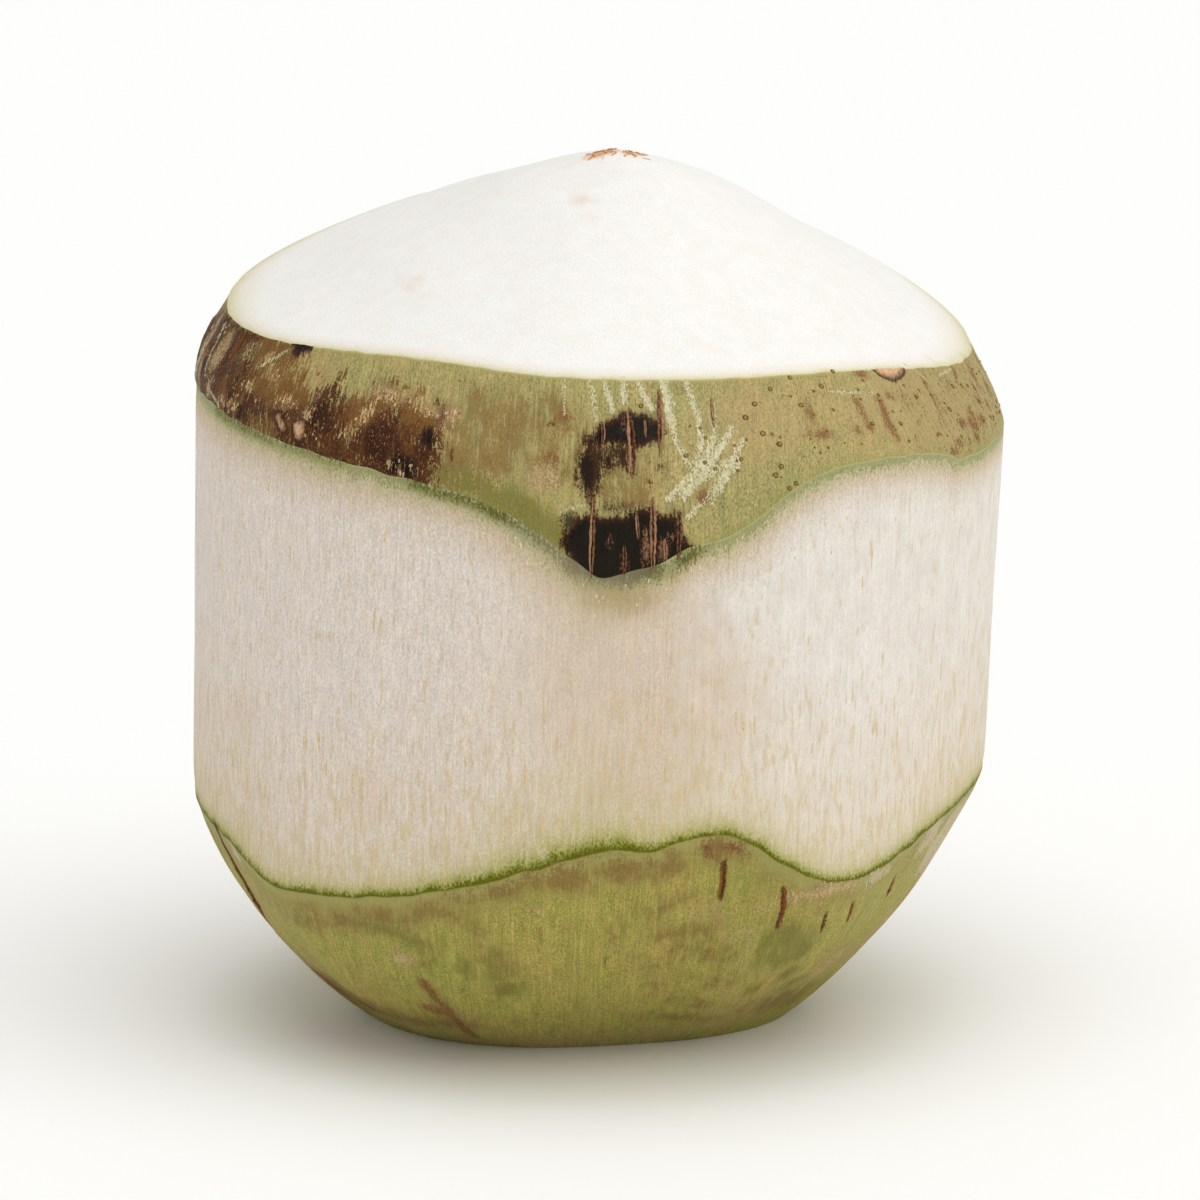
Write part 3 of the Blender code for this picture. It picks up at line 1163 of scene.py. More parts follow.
@dataclass(frozen=True)
class HuskFinish:
    """What the cut pith and the skin share: blotches, streaks and specks, and stains over them.

    The grains have the sizes of the real marks, in millimetres. `core_from` gives the shares of
    a stain's band between which its edge colour goes over to its core, `stain_relief` how high
    a stain stands in the fine relief.
    """

    name: str
    pattern: Pattern
    stains: tuple[Stain, ...]
    cloud: Grain = Grain(3.2, 4.4, 3.0)
    streak: Grain = Grain(0.42, 2.6, 2.0, 3.1)
    speck: Grain = Grain(0.26, 0.42, 1.0, 5.3)
    ridge: Grain = Grain(0.24, 9.0, 1.0, 7.9)
    streaks_in_specks: float = 0.8
    core_from: Pair = (0.4, 1.6)
    stain_relief: float = 0.5

    def start(self) -> Painter:
        """Starts the material.

        Returns:
            A painter with the shared noises of this finish.
        """
        paint = Painter(self.name, self.pattern)
        paint.cloud = paint.grain(self.cloud)
        paint.streak = paint.grain(self.streak)
        paint.speck = paint.grain(self.speck)
        paint.ridge = paint.grain(self.ridge)
        paint.rough = paint.plus(paint.speck, paint.streak, self.streaks_in_specks)
        return paint

    def stained(
        self, paint: Painter, colour: object, height: object, stains: tuple[Stain, ...]
    ) -> tuple:
        """Lays stains over the ground.

        Args:
            paint: Painter of the material.
            colour: Colour of the ground.
            height: Fine relief of the ground.
            stains: The stains, the lowest first.

        Returns:
            The new colour and relief, and each stain's mask by name.
        """
        masks = {}
        smooth = {"interpolation_type": "SMOOTHSTEP"}
        for stain in stains:
            depth = paint.plus(paint.attribute(stain.name), paint.cloud, stain.cloudy)
            depth = paint.plus(depth, paint.streak, stain.streaky)
            depth = paint.plus(depth, paint.speck, stain.specky)
            mask = paint.spread(depth, (0.0, stain.soft), (0.0, stain.cover), **smooth)
            inner = paint.spread(depth, tuple(share * stain.band for share in self.core_from))
            tone = paint.blend(inner, stain.edge, stain.core)
            colour = paint.blend(mask, colour, paint.shade(tone, paint.rough, stain.uneven))
            height = paint.plus(height, mask, self.stain_relief)
            masks[stain.name] = mask
        return colour, height, masks

    def edged(self, paint: Painter, colour: object, margins: tuple[Margin, ...]) -> object:
        """Lays margins along the edges of the skin over a colour.

        Args:
            paint: Painter of the material.
            colour: Colour under them.
            margins: The margins, the lowest first.

        Returns:
            The new colour.
        """
        for margin in margins:
            reach = margin.stops[-1][0]
            gap = paint.distance(margin.gap)
            for noise, amount in zip((paint.cloud, paint.streak, paint.speck), margin.wander):
                gap = paint.plus(gap, noise, amount)
            share = paint.add("ShaderNodeMath", {0: gap, 1: reach}, operation="DIVIDE")
            rows = margin.stops
            stops = tuple((at / reach, (*linear(code)[:3], cover)) for at, code, cover in rows)
            ramp = paint.add("ShaderNodeValToRGB", {"Fac": share}, stops=stops)
            colour = paint.blend(ramp.outputs["Alpha"], colour, ramp.outputs["Color"])
        return colour


@dataclass(frozen=True)
class CutAlongFinish(HuskFinish):
    """Pith of the upright side: fresh wet husk fibre in soft white tissue, cut along the grain.

    The knife leaves it matt cream with a fine speckle, faint upright lines and soft straw-yellow
    vessels. The green of the skin seeps into it as grains above and as a dark line below.

    `rosy_where` and `straw_where` give the range of the vessels' noise that shows, and the cover
    that it gets. `low_where` adds to that noise by the distance in millimetres from the base.
    """

    light: str = "#eae4db"
    dark: str = "#e0d8cd"
    rosy: str = "#e4d3c8"
    straw: str = "#cdb274"
    tints: tuple[Stain, ...] = SIDE_TINTS
    roughness: float = 0.6
    shine: float = 0.2
    ior: float = 1.4
    relief: float = 0.06
    vessels: Grain = Grain(0.8, 3.6, 2.0, 19.0)
    rosy_where: tuple[Pair, Pair] = ((-0.2, -1.2), (0.0, 0.7))
    straw_where: tuple[Pair, Pair] = ((0.45, 1.5), (0.0, 0.7))
    low_where: tuple[Pair, Pair] = ((32.0, 2.0), (0.0, 0.95))
    streaks_in_lines: float = 0.6
    specks_in_lines: float = 1.2
    line_range: Pair = (-2.5, 2.5)
    line_shade: float = 0.045
    upper: tuple[Margin, ...] = (
        Margin(
            "seep_upper",
            (0.3, 0.4, 0.9),
            (
                (0.0, "#a2a273", 1.0), (0.3, "#8d9059", 1.0), (0.6, "#999966", 1.0),
                (0.95, "#a39e6f", 1.0), (1.5, "#b7ae84", 0.96), (2.1, "#c2b38c", 0.93),
                (3.1, "#cbb799", 0.82), (4.8, "#d3c2ab", 0.58), (8.5, "#dacdbd", 0.0),
            ),
        ),
        Margin(
            "below_upper",
            (0.04, 0.0, 0.05),
            ((0.0, "#c6bf90", 0.45), (0.12, "#c6bf90", 0.4), (0.26, "#a5a26c", 0.0)),
        ),
    )
    lower: tuple[Margin, ...] = (
        Margin(
            "seep_lower",
            (0.2, 0.1, 0.26),
            (
                (0.0, "#5f6204", 1.0), (0.2, "#6a6d10", 1.0), (0.45, "#8d8e3a", 0.95),
                (0.8, "#a9a45a", 0.85), (1.4, "#bfb47c", 0.75), (2.6, "#cdbf96", 0.6),
                (7.0, "#dacab0", 0.4), (26.0, "#dccbb4", 0.0),
            ),
        ),
    )

    def material(self) -> bpy.types.Material:
        """Makes cream pith with vessels, stains and its two green edges.

        Returns:
            The finished material.
        """
        paint = self.start()
        lines = paint.plus(paint.ridge, paint.streak, self.streaks_in_lines)
        lines = paint.plus(lines, paint.speck, self.specks_in_lines)
        colour = paint.blend(paint.spread(paint.cloud), self.light, self.dark)
        vessels = paint.grain(self.vessels)
        colour = paint.blend(paint.spread(vessels, *self.rosy_where), colour, self.rosy)
        height = paint.spread(lines, self.line_range)
        # Tints over the ground, among them painted shade over the left of the side
        colour, height, _ = self.stained(paint, colour, height, self.tints)
        low = paint.spread(paint.distance("below_lower"), *self.low_where)
        seen = paint.add("ShaderNodeMath", {0: vessels, 1: low}, operation="ADD")
        colour = paint.blend(paint.spread(seen, *self.straw_where), colour, self.straw)
        colour = self.edged(paint, colour, self.upper)
        colour, height, _ = self.stained(paint, colour, height, self.stains)
        colour = self.edged(paint, colour, self.lower)
        colour = paint.shade(colour, lines, self.line_shade)
        return paint.finish(colour, height, self.relief, self.roughness, self.shine, self.ior)


@dataclass(frozen=True)
class CutAcrossFinish(HuskFinish):
    """Pith of the pointed top and the foot: the same wet fibre, cut across the grain.

    Its cut ends give an even matt white with a fine stipple, and a thin pale green margin.
    """

    light: str = "#f5f3ee"
    dark: str = "#f1eee7"
    stipple: float = 0.04
    roughness: float = 0.6
    ior: float = 1.4
    relief: float = 0.035
    edges: tuple[str, ...] = ("seep_rim", "below_foot")
    wander: Triple = (0.15, 0.0, 0.2)
    green: tuple[tuple[float, str, float], ...] = (
        (0.0, "#d3cb9f", 1.0), (0.25, "#dcd6b0", 1.0), (0.6, "#e4dcc2", 0.9),
        (1.1, "#eae2cf", 0.7), (2.8, "#eee8dc", 0.0),
    )

    def material(self) -> bpy.types.Material:
        """Makes white pith with stains and a pale margin along the skin.

        Returns:
            The material.
        """
        paint = self.start()
        colour = paint.blend(paint.spread(paint.cloud), self.light, self.dark)
        colour = paint.shade(colour, paint.speck, self.stipple)
        height = paint.spread(paint.speck)
        colour, height, _ = self.stained(paint, colour, height, self.stains)
        margins = tuple(Margin(edge, self.wander, self.green) for edge in self.edges)
        colour = self.edged(paint, colour, margins)
        return paint.finish(colour, height, self.relief, self.roughness, ior=self.ior)


@dataclass(frozen=True)
class SkinFinish(HuskFinish):
    """Waxy green skin of a coconut husk, grown and weathered on the palm.

    Fine ridges run down it, green and tan by turns, and its olive turns to khaki where the sun has
    parched it. Brown scurf, black spots and pale grazes lie over it. It has a dull wax gloss.

    `tan_mix` is how much ridges, blotches and dapples add to the broad patches that turn tan.
    """

    olive: str = "#a09c62"
    khaki: str = "#ad9862"
    leaf: str = "#9c9c4a"
    straw: str = "#ab9752"
    broad: Grain = Grain(14.0, 16.0, 1.0, 11.7)
    dapple: Grain = Grain(1.5, 3.4, 2.0, 23.0)
    tan_mix: Triple = (0.9, 0.4, 0.5)
    tan_range: Pair = (-1.8, 1.8)
    ridge_shade: float = 0.12
    dapples_in_specks: float = 0.35
    speck_shade: float = 0.29
    specks_in_ridges: float = 0.5
    ridge_range: Pair = (-1.5, 1.5)
    gloss: Pair = (0.55, 0.34)
    shine: float = 0.15
    relief: float = 0.08
    margins: tuple[Margin, ...] = (
        Margin(
            "below_upper",
            (0.3, 0.2, 0.3),
            ((0.0, "#94914f", 0.6), (0.5, "#94914f", 0.35), (2.0, "#94914f", 0.0)),
        ),
        Margin(
            "below_lower",
            (0.5, 0.3, 0.5),
            (
                (0.0, "#9c9755", 0.9), (1.2, "#a29b5f", 0.75),
                (2.4, "#96864c", 0.5), (9.0, "#96864c", 0.0),
            ),
        ),
        Margin(
            "below_lower",
            (0.1, 0.0, 0.05),
            ((0.0, "#5f6204", 1.0), (0.1, "#6c6d14", 0.9), (0.32, "#858130", 0.0)),
        ),
        Margin(
            "below_rim",
            (0.08, 0.0, 0.06),
            ((0.0, "#c4bb86", 1.0), (0.2, "#b3a76a", 0.85), (0.55, "#a4985b", 0.0)),
        ),
    )

    def ground(self, paint: Painter) -> tuple:
        """Lays clean skin.

        Args:
            paint: Painter of the material.

        Returns:
            Its colour and its fine relief.
        """
        mixed, dapple = paint.grain(self.broad), paint.grain(self.dapple)
        for noise, amount in zip((paint.ridge, paint.cloud, dapple), self.tan_mix):
            mixed = paint.plus(mixed, noise, amount)
        share = paint.spread(mixed, self.tan_range)
        band = paint.blend(share, self.olive, self.khaki)
        base = paint.blend(share, self.leaf, self.straw)
        low = paint.spread(paint.attribute("below_lower"), (-1.0, 0.0))
        colour = paint.shade(paint.blend(low, band, base), paint.ridge, self.ridge_shade)
        specks = paint.plus(paint.speck, dapple, self.dapples_in_specks)
        colour = paint.shade(colour, specks, self.speck_shade)
        ridges = paint.plus(paint.ridge, paint.speck, self.specks_in_ridges)
        return colour, paint.spread(ridges, self.ridge_range)

    def material(self) -> bpy.types.Material:
        """Makes clean skin with its margins and stains.

        Returns:
            The material.
        """
        paint = self.start()
        colour, height = self.ground(paint)
        colour = self.edged(paint, colour, self.margins)
        colour, height, masks = self.stained(paint, colour, height, self.stains)
        roughness = paint.spread(masks["soot"], (0.0, 1.0), self.gloss)
        return paint.finish(colour, height, self.relief, roughness, self.shine)


@dataclass(frozen=True)
class FleckFinish:
    """Dry plant fibre or cork in small pieces, each of its own shade, matt and a little rough."""

    name: str
    dark: str
    light: str
    roughness: float = 0.7
    shine: float = 0.2
    relief: float = 0.02
    grains: Grain = Grain(0.3, 0.5, 1.0)
    mixed: float = 0.3
    uneven: float = 0.1

    def material(self) -> bpy.types.Material:
        """Makes a colour between `dark` and `light` for each piece, mottled in fine grains.

        Returns:
            The material.
        """
        paint = Painter(self.name, Pattern.SOLID)
        mottle = paint.grain(self.grains)
        share = paint.plus(paint.attribute("shade"), mottle, self.mixed)
        tone = paint.shade(paint.blend(share, self.dark, self.light), mottle, self.uneven)
        height = paint.spread(mottle)
        return paint.finish(tone, height, self.relief, self.roughness, self.shine)


@dataclass(frozen=True)
class Ripple:
    """Relief of one depth in millimetres, with the rough size of its ripples along each axis."""

    depth: float
    sizes: Triple
    seed: int

    def at(self, points: Array) -> Array:
        """Height of the relief at places in millimetres."""
        return self.depth * ripples(points, self.sizes, self.seed)


@dataclass
class HuskBody:
    """The whole husk as one closed surface with its relief, stains and finishes.

    `rings` is the number of rings in each zone. `front_crowding`, `edge_crowding` and
    `top_crowding` draw the columns to the front and the rings to the edges and the point.
    `wrap_radius` is the radius of the tube that the grain is laid on, and `upright` how far the
    grain keeps upright on the flats. `seeps` names the distances that are stretched, each with
    what it is stretched by. `edge_calm` is how far from an edge the relief starts, `rise_over`
    where in a stain its own relief does, and `rise_share` the least and the added part of that.
    """

    form: HuskForm
    columns: int = 540
    front_crowding: float = 0.6
    edge_crowding: float = 0.09
    top_crowding: float = 1.2
    walk_steps: int = 3601
    rings: tuple[int, ...] = (26, 74, 32, 44, 3)
    wrap_radius: float = 60.0
    upright: float = 0.8
    crease: float = 38.0
    furthest: float = 60.0
    seeps: tuple[tuple[str, str, Edge], ...] = (
        ("seep_upper", "below_upper", Edge(1.05, -0.17, swells((0, 0.75, 13, 14)))),
        ("seep_lower", "below_lower", Edge(1.15, 0.0, swells((-3, 1.4, 14, 13)))),
        ("seep_rim", "below_rim", Edge(1.0, 0.0, swells((88, 1.8, 14, 40), (-88, 1.6, 40, 14)))),
    )
    skin_ripples: tuple[Ripple, ...] = (
        Ripple(0.2, (14.0, 14.0, 16.0), 11),
        Ripple(0.06, (1.6, 1.6, 34.0), 12),
    )
    side_ripples: tuple[Ripple, ...] = (
        Ripple(0.22, (13.0, 13.0, 60.0), 13),
        Ripple(0.05, (1.5, 1.5, 30.0), 14),
    )
    top_ripple: Ripple = Ripple(0.22, (18.0, 18.0, 18.0), 15)
    stain_ripple: Ripple = Ripple(0.5, (1.3, 1.3, 2.6), 16)
    edge_calm: float = 3.0
    rise_over: Pair = (-0.2, 0.8)
    rise_share: Pair = (0.6, 0.8)

    def azimuths(self) -> Array:
        """Spaces the columns, closer together at the front.

        Returns:
            Their azimuths.
        """
        even = np.linspace(-180.0, 180.0, self.walk_steps)
        walked = even + self.front_crowding * np.degrees(np.sin(np.radians(even)))
        return np.interp(np.linspace(-180.0, 180.0, self.columns, endpoint=False), walked, even)

    def rows(self) -> list[tuple[Zone, float]]:
        """Spaces the rings, closer together beside the edges of the skin.

        Returns:
            The zone of each ring and its share of the way down it.
        """
        found = []
        for zone, count in zip(Zone, self.rings):
            for ring in range(count):
                share = ring / count
                if zone in (Zone.BAND, Zone.SIDE, Zone.BASE):
                    share -= self.edge_crowding * math.sin(TURN * share)
                if zone is Zone.TOP:
                    share = ((ring + 1) / (count + 1)) ** self.top_crowding
                found.append((zone, share))
        return found

    def build(self) -> bpy.types.Object:
        """Makes the husk.

        Returns:
            The husk's object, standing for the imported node.
        """
        azimuth = self.azimuths()
        self.table = self.rows()
        level = [(zone, np.full(self.columns, share)) for zone, share in self.table]
        grid = np.array([self.form.surface(zone, share, azimuth) for zone, share in level])
        self.measure(grid, azimuth)
        self.plain = grid.reshape(-1, 3)
        self.depths = {
            stain.name: stain.depth(self.plain, self.form)
            for stain in (*SKIN_STAINS, *SIDE_TINTS, *SIDE_STAINS, *TOP_STAINS)
        }
        self.raised = self.relief()
        self.points = self.plain + self.outward(grid) * self.raised[:, None]
        husk = new_piece("husk", self.mesh())
        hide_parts(NODE)
        return husk

    def measure(self, grid: Array, azimuth: Array) -> None:
        """Works out each point's distances from the edges, its zone and its place on the wrap.

        Args:
            grid: Points of the plain form, by ring and column.
            azimuth: Azimuths of the columns.
        """
        steps = np.linalg.norm(np.diff(grid, axis=0), axis=2)
        walked = np.concatenate([np.zeros((1, self.columns)), np.cumsum(steps, axis=0)])
        spacing = np.gradient(np.radians(azimuth))
        self.gaps = {}
        order = [zone for zone, _ in self.table]
        names = ("below_rim", "below_upper", "below_lower", "below_foot")
        for name, zone in zip(names, (Zone.BAND, Zone.SIDE, Zone.BASE, Zone.FOOT)):
            row = order.index(zone)
            slope = np.gradient(grid[row, :, 2]) / (spacing * self.wrap_radius)
            square = 1.0 / np.sqrt(1.0 + slope**2)
            self.gaps[name] = ((walked - walked[row]) * square).reshape(-1)
        for name, source, spread in self.seeps:
            wide = np.broadcast_to(spread.at(azimuth), walked.shape).reshape(-1)
            self.gaps[name] = self.gaps[source] / wide
        turn = self.grain_turn(grid, np.radians(azimuth)).reshape(-1)
        x, y = self.wrap_radius * np.sin(turn), -self.wrap_radius * np.cos(turn)
        self.wrap = np.stack([x, y, walked.reshape(-1)], axis=1)
        self.zones = np.repeat([zone.number for zone in order], self.columns)

    def grain_turn(self, grid: Array, turn: Array) -> Array:
        """Turns the grain line through each point round the husk.

        On the flats at the front and the back the lines stand nearly upright; at the sides they
        follow the meridians.

        Args:
            grid: Points of the plain form, by ring and column.
            turn: Azimuths of the columns in radians.

        Returns:
            The turn of each point's line in radians.
        """
        centre = self.form.side_foot_x + self.form.side_lean * grid[:, :, 2]
        reach = np.clip((grid[:, :, 0] - centre) / self.wrap_radius, -1.0, 1.0)
        ahead = np.arcsin(reach)
        line = np.where(np.cos(turn) >= 0.0, ahead, np.where(turn < 0.0, -math.pi, math.pi) - ahead)
        share = self.upright * (1.0 - np.sin(turn) ** 4)
        return turn + share * (line - turn)

    def outward(self, grid: Array) -> Array:
        """Finds the directions of the surface, and keeps the one down its meridians.

        Args:
            grid: Points of the plain form, by ring and column.

        Returns:
            Unit vectors out of the surface.
        """
        down = np.gradient(grid, axis=0)
        wide = np.concatenate([grid[:, -1:], grid, grid[:, :1]], axis=1)
        across = (wide[:, 2:] - wide[:, :-2]) / 2.0
        self.down = unit(down).reshape(-1, 3)
        return unit(np.cross(down, across)).reshape(-1, 3)

    def seat(self, azimuth: float, height: float) -> tuple[Array, Array, Array, Array]:
        """Finds a place on the real relief for a small piece.

        Args:
            azimuth: Its azimuth.
            height: Its height.

        Returns:
            The point, then unit vectors across the husk, up it and out of it.
        """
        origin, across, up, out = self.form.axes_at(azimuth, height)
        nearest = np.argmin(((self.plain - origin) ** 2).sum(axis=1))
        return origin + out * self.raised[nearest], across, up, out

    def in_zones(self, *zones: Zone) -> Array:
        """1 for each point in one of the zones, else 0."""
        return np.isin(self.zones, [zone.number for zone in zones]).astype(float)

    def relief(self) -> Array:
        """Works out the real surface's height above the plain form.

        Returns:
            The height of each point in millimetres.
        """
        skin = self.in_zones(Zone.BAND, Zone.BASE)
        side = self.in_zones(Zone.SIDE)
        top = self.in_zones(Zone.TOP)
        near_edge = np.min([np.abs(gap) for gap in self.gaps.values()], axis=0)
        height = skin * sum(ripple.at(self.wrap) for ripple in self.skin_ripples)
        height = height + side * sum(ripple.at(self.wrap) for ripple in self.side_ripples)
        height = height + top * self.top_ripple.at(self.plain)
        height = smooth_step(near_edge, 0.0, self.edge_calm) * height
        least, more = self.rise_share
        grain = 0.5 + self.stain_ripple.at(self.wrap)
        for stain in SKIN_STAINS:
            mask = smooth_step(self.depths[stain.name], *self.rise_over)
            height = height + skin * mask * stain.rise * (least + more * grain)
        return height * (self.zones != Zone.FOOT.number)

    def quads(self) -> Array:
        """Joins the rings by faces.

        Returns:
            Each face's corners, as numbers of the points of the rings.
        """
        count = self.columns
        column = np.arange(count)
        after = (column + 1) % count
        quad = np.stack([column, count + column, count + after, after], axis=1)
        return np.concatenate([quad + ring * count for ring in range(len(self.table) - 1)])

    def mesh(self) -> bpy.types.Mesh:
        """Makes the closed mesh of the husk.

        Returns:
            The mesh, with its attributes and finishes.
        """
        tip = [self.form.point_x, 0.0, self.form.top_height(self.form.point_x, 0.0)]
        points = np.concatenate([[tip], self.points, [[0.0, 0.0, 0.0]]]) * MM
        column = np.arange(self.columns)
        after = (column + 1) % self.columns
        foot = len(points) - 1
        last = foot - self.columns
        faces = [(0, 1 + a, 1 + b) for a, b in zip(column, after)]
        faces.extend((self.quads() + 1).tolist())
        faces.extend((foot, last + b, last + a) for a, b in zip(column, after))
        zones = [Zone.TOP, *(zone for zone, _ in self.table[:-1]), Zone.FOOT]
        owners = np.repeat([self.slot_of(zone) for zone in zones], self.columns)
        mesh = bpy.data.meshes.new("husk")
        mesh.from_pydata(points.tolist(), [], [tuple(map(int, face)) for face in faces])
        for finish in (TOP_PITH, SKIN, SIDE_PITH):
            mesh.materials.append(finish.material())
        mesh.polygons.foreach_set("material_index", owners.astype(np.int32))
        for name, values in {**self.gaps, **self.depths}.items():
            self.store(mesh, name, np.clip(values, -self.furthest, self.furthest))
        self.store(mesh, "wrap", self.wrap)
        mesh.shade_smooth()
        mesh.set_sharp_from_angle(angle=math.radians(self.crease))
        return mesh

    @staticmethod
    def slot_of(zone: Zone) -> int:
        """Material slot of a zone: 0 for pith cut across, 1 for skin, 2 for pith cut along."""
        return {Zone.BAND: 1, Zone.BASE: 1, Zone.SIDE: 2}.get(zone, 0)

    @staticmethod
    def store(mesh: bpy.types.Mesh, name: str, values: Array) -> None:
        """Keeps one value or vector for each point, with the ends' taken from their rings."""
        add_values(mesh, name, np.concatenate([values[:1], values, values[-1:]]))

    def carrier(self, weights: Array) -> bpy.types.Mesh:
        """Part of the surface that carries small pieces.

        Args:
            weights: How thickly they lie at each point of the surface, from 0 to 1.

        Returns:
            A mesh of the faces with any weight, with the weight and the grain's direction.
        """
        quads = self.quads()
        kept = quads[weights[quads].max(axis=1) > 0.0]
        used, places = np.unique(kept, return_inverse=True)
        mesh = bpy.data.meshes.new("carrier")
        mesh.from_pydata((self.points[used] * MM).tolist(), [], places.reshape(-1, 4).tolist())
        add_values(mesh, "weight", weights[used])
        add_values(mesh, "grain", self.down[used])
        return mesh


@dataclass(frozen=True)
class Scatter:
    """Many small rounded pieces that lie on a surface along its grain.

    `width`, `length` and `rise` are their greatest sizes in millimetres and `least` the share
    of them that the smallest has. `per_cm2` is their number where the weight is 1, and `turn`
    the degrees by which they lie askew.
    """

    name: str
    finish: FleckFinish
    width: float
    length: float
    rise: float
    per_cm2: float
    least: float = 0.4
    turn: float = 6.0
    seed: int = 1
    twist_seed: int = 5
    shade_seed: int = 9
    sides: int = 6
    rounds: int = 4

    def tree(self) -> bpy.types.NodeTree:
        """Makes the geometry nodes that set the pieces on a carrier.

        Returns:
            The node tree.
        """
        tree = bpy.data.node_groups.new(self.name, "GeometryNodeTree")
        add = partial(add_node, tree)
        kinds = {"Geometry": "Geometry", "Density": "Float", "Least": "Float", "Turn": "Float"}
        kinds.update({"Size": "Vector", "Seed": "Int", "Finish": "Material"})
        for name, kind in kinds.items():
            tree.interface.new_socket(name, in_out="INPUT", socket_type=f"NodeSocket{kind}")
        tree.interface.new_socket("Geometry", in_out="OUTPUT", socket_type="NodeSocketGeometry")
        given = add("NodeGroupInput").outputs
        named = "GeometryNodeInputNamedAttribute"
        weight = add(named, {"Name": "weight"}, data_type="FLOAT")
        grain = add(named, {"Name": "grain"}, data_type="FLOAT_VECTOR")
        density = add("ShaderNodeMath", {0: weight, 1: given["Density"]}, operation="MULTIPLY")
        sockets = {"Mesh": given["Geometry"], "Density": density, "Seed": given["Seed"]}
        spread = add("GeometryNodeDistributePointsOnFaces", sockets)
        align = "FunctionNodeAlignRotationToVector"
        stood = add(align, {"Vector": spread.outputs["Normal"]}, axis="Z")
        laid = add(align, {"Rotation": stood, "Vector": grain}, axis="Y", pivot_axis="Z")
        chance = "FunctionNodeRandomValue"
        least = add("ShaderNodeCombineXYZ", {axis: given["Least"] for axis in range(3)})
        sockets = {"Min": least, "Max": (1.0, 1.0, 1.0), "Seed": given["Seed"]}
        share = add(chance, sockets, data_type="FLOAT_VECTOR")
        size = add("ShaderNodeVectorMath", {0: share, 1: given["Size"]}, operation="MULTIPLY")
        back = add("ShaderNodeMath", {0: given["Turn"], 1: -1.0}, operation="MULTIPLY")
        sockets = {"Min": back, "Max": given["Turn"], "Seed": self.twist_seed}
        angle = add("ShaderNodeCombineXYZ", {2: add(chance, sockets, data_type="FLOAT")})
        sockets = {"Rotation": laid, "Rotate By": angle}
        turned = add("FunctionNodeRotateRotation", sockets, rotation_space="LOCAL")
        sockets = {"Segments": self.sides, "Rings": self.rounds, "Radius": 1.0}
        ball = add("GeometryNodeMeshUVSphere", sockets)
        sockets = {"Points": spread, "Instance": ball, "Rotation": turned, "Scale": size}
        set_down = add("GeometryNodeInstanceOnPoints", sockets)
        tone = add(chance, {"Min": 0.0, "Max": 1.0, "Seed": self.shade_seed}, data_type="FLOAT")
        toned = add(
            "GeometryNodeStoreNamedAttribute",
            {"Geometry": set_down, "Name": "shade", "Value": tone},
            data_type="FLOAT",
            domain="INSTANCE",
        )
        real = add("GeometryNodeRealizeInstances", {"Geometry": toned})
        smooth = add("GeometryNodeSetShadeSmooth", {"Geometry": real})
        sockets = {"Geometry": smooth, "Material": given["Finish"]}
        add("NodeGroupOutput", {"Geometry": add("GeometryNodeSetMaterial", sockets)})
        return tree

    def build(self, carrier: bpy.types.Mesh) -> bpy.types.Object:
        """Sets the pieces on a carrier.

        Args:
            carrier: Mesh with `weight` and `grain` on its points. It is used up.

        Returns:
            All the pieces as one object.
        """
        tree = self.tree()
        values = {
            "Density": self.per_cm2 * CM2_IN_M2,
            "Least": self.least,
            "Turn": math.radians(self.turn),
            "Size": tuple(size * 0.5 * MM for size in (self.width, self.length, 2.0 * self.rise)),
            "Seed": self.seed,
            "Finish": self.finish.material(),
        }
        holder = bpy.data.objects.new(f"{self.name}_holder", carrier)
        bpy.context.scene.collection.objects.link(holder)
        modifier = holder.modifiers.new("scatter", "NODES")
        modifier.node_group = tree
        for item in tree.interface.items_tree:
            if item.in_out == "INPUT" and item.name in values:
                modifier[item.identifier] = values[item.name]
        graph = bpy.context.evaluated_depsgraph_get()
        mesh = bpy.data.meshes.new_from_object(
            holder.evaluated_get(graph), preserve_all_data_layers=True, depsgraph=graph
        )
        mesh.name = self.name
        holder.modifiers.remove(modifier)
        bpy.data.objects.remove(holder, do_unlink=True)
        return new_piece(self.name, mesh)


@dataclass(frozen=True)
class Split:
    """A split in the skin along points of azimuth and height, with its greatest width."""

    points: Path
    width: float
    rise: float = 0.3


def along_path(body: HuskBody, points: Path, step: float) -> list[tuple]:
    """Even steps along a path on the husk.

    Args:
        body: The husk.
        points: Azimuths and heights of the path's corners.
        step: Distance between the steps in millimetres.

    Returns:
        For each step its point, then unit vectors to its side, ahead and out of the husk.
    """
    corners = np.array(points, dtype=float)
    spots = np.array([body.form.spot(*corner) for corner in corners])
    walked = np.concatenate([[0.0], np.cumsum(np.linalg.norm(np.diff(spots, axis=0), axis=1))])
    count = max(3, round(walked[-1] / step) + 1)
    where = np.linspace(0.0, walked[-1], count)
    azimuths = np.interp(where, walked, corners[:, 0])
    heights = np.interp(where, walked, corners[:, 1])
    found = [body.seat(azimuth, height) for azimuth, height in zip(azimuths, heights)]
    ahead = unit(np.gradient(np.array([origin for origin, *_ in found]), axis=0))
    return [
        (origin, unit(np.cross(forward, out)), forward, out)
        for (origin, _, _, out), forward in zip(found, ahead)
    ]


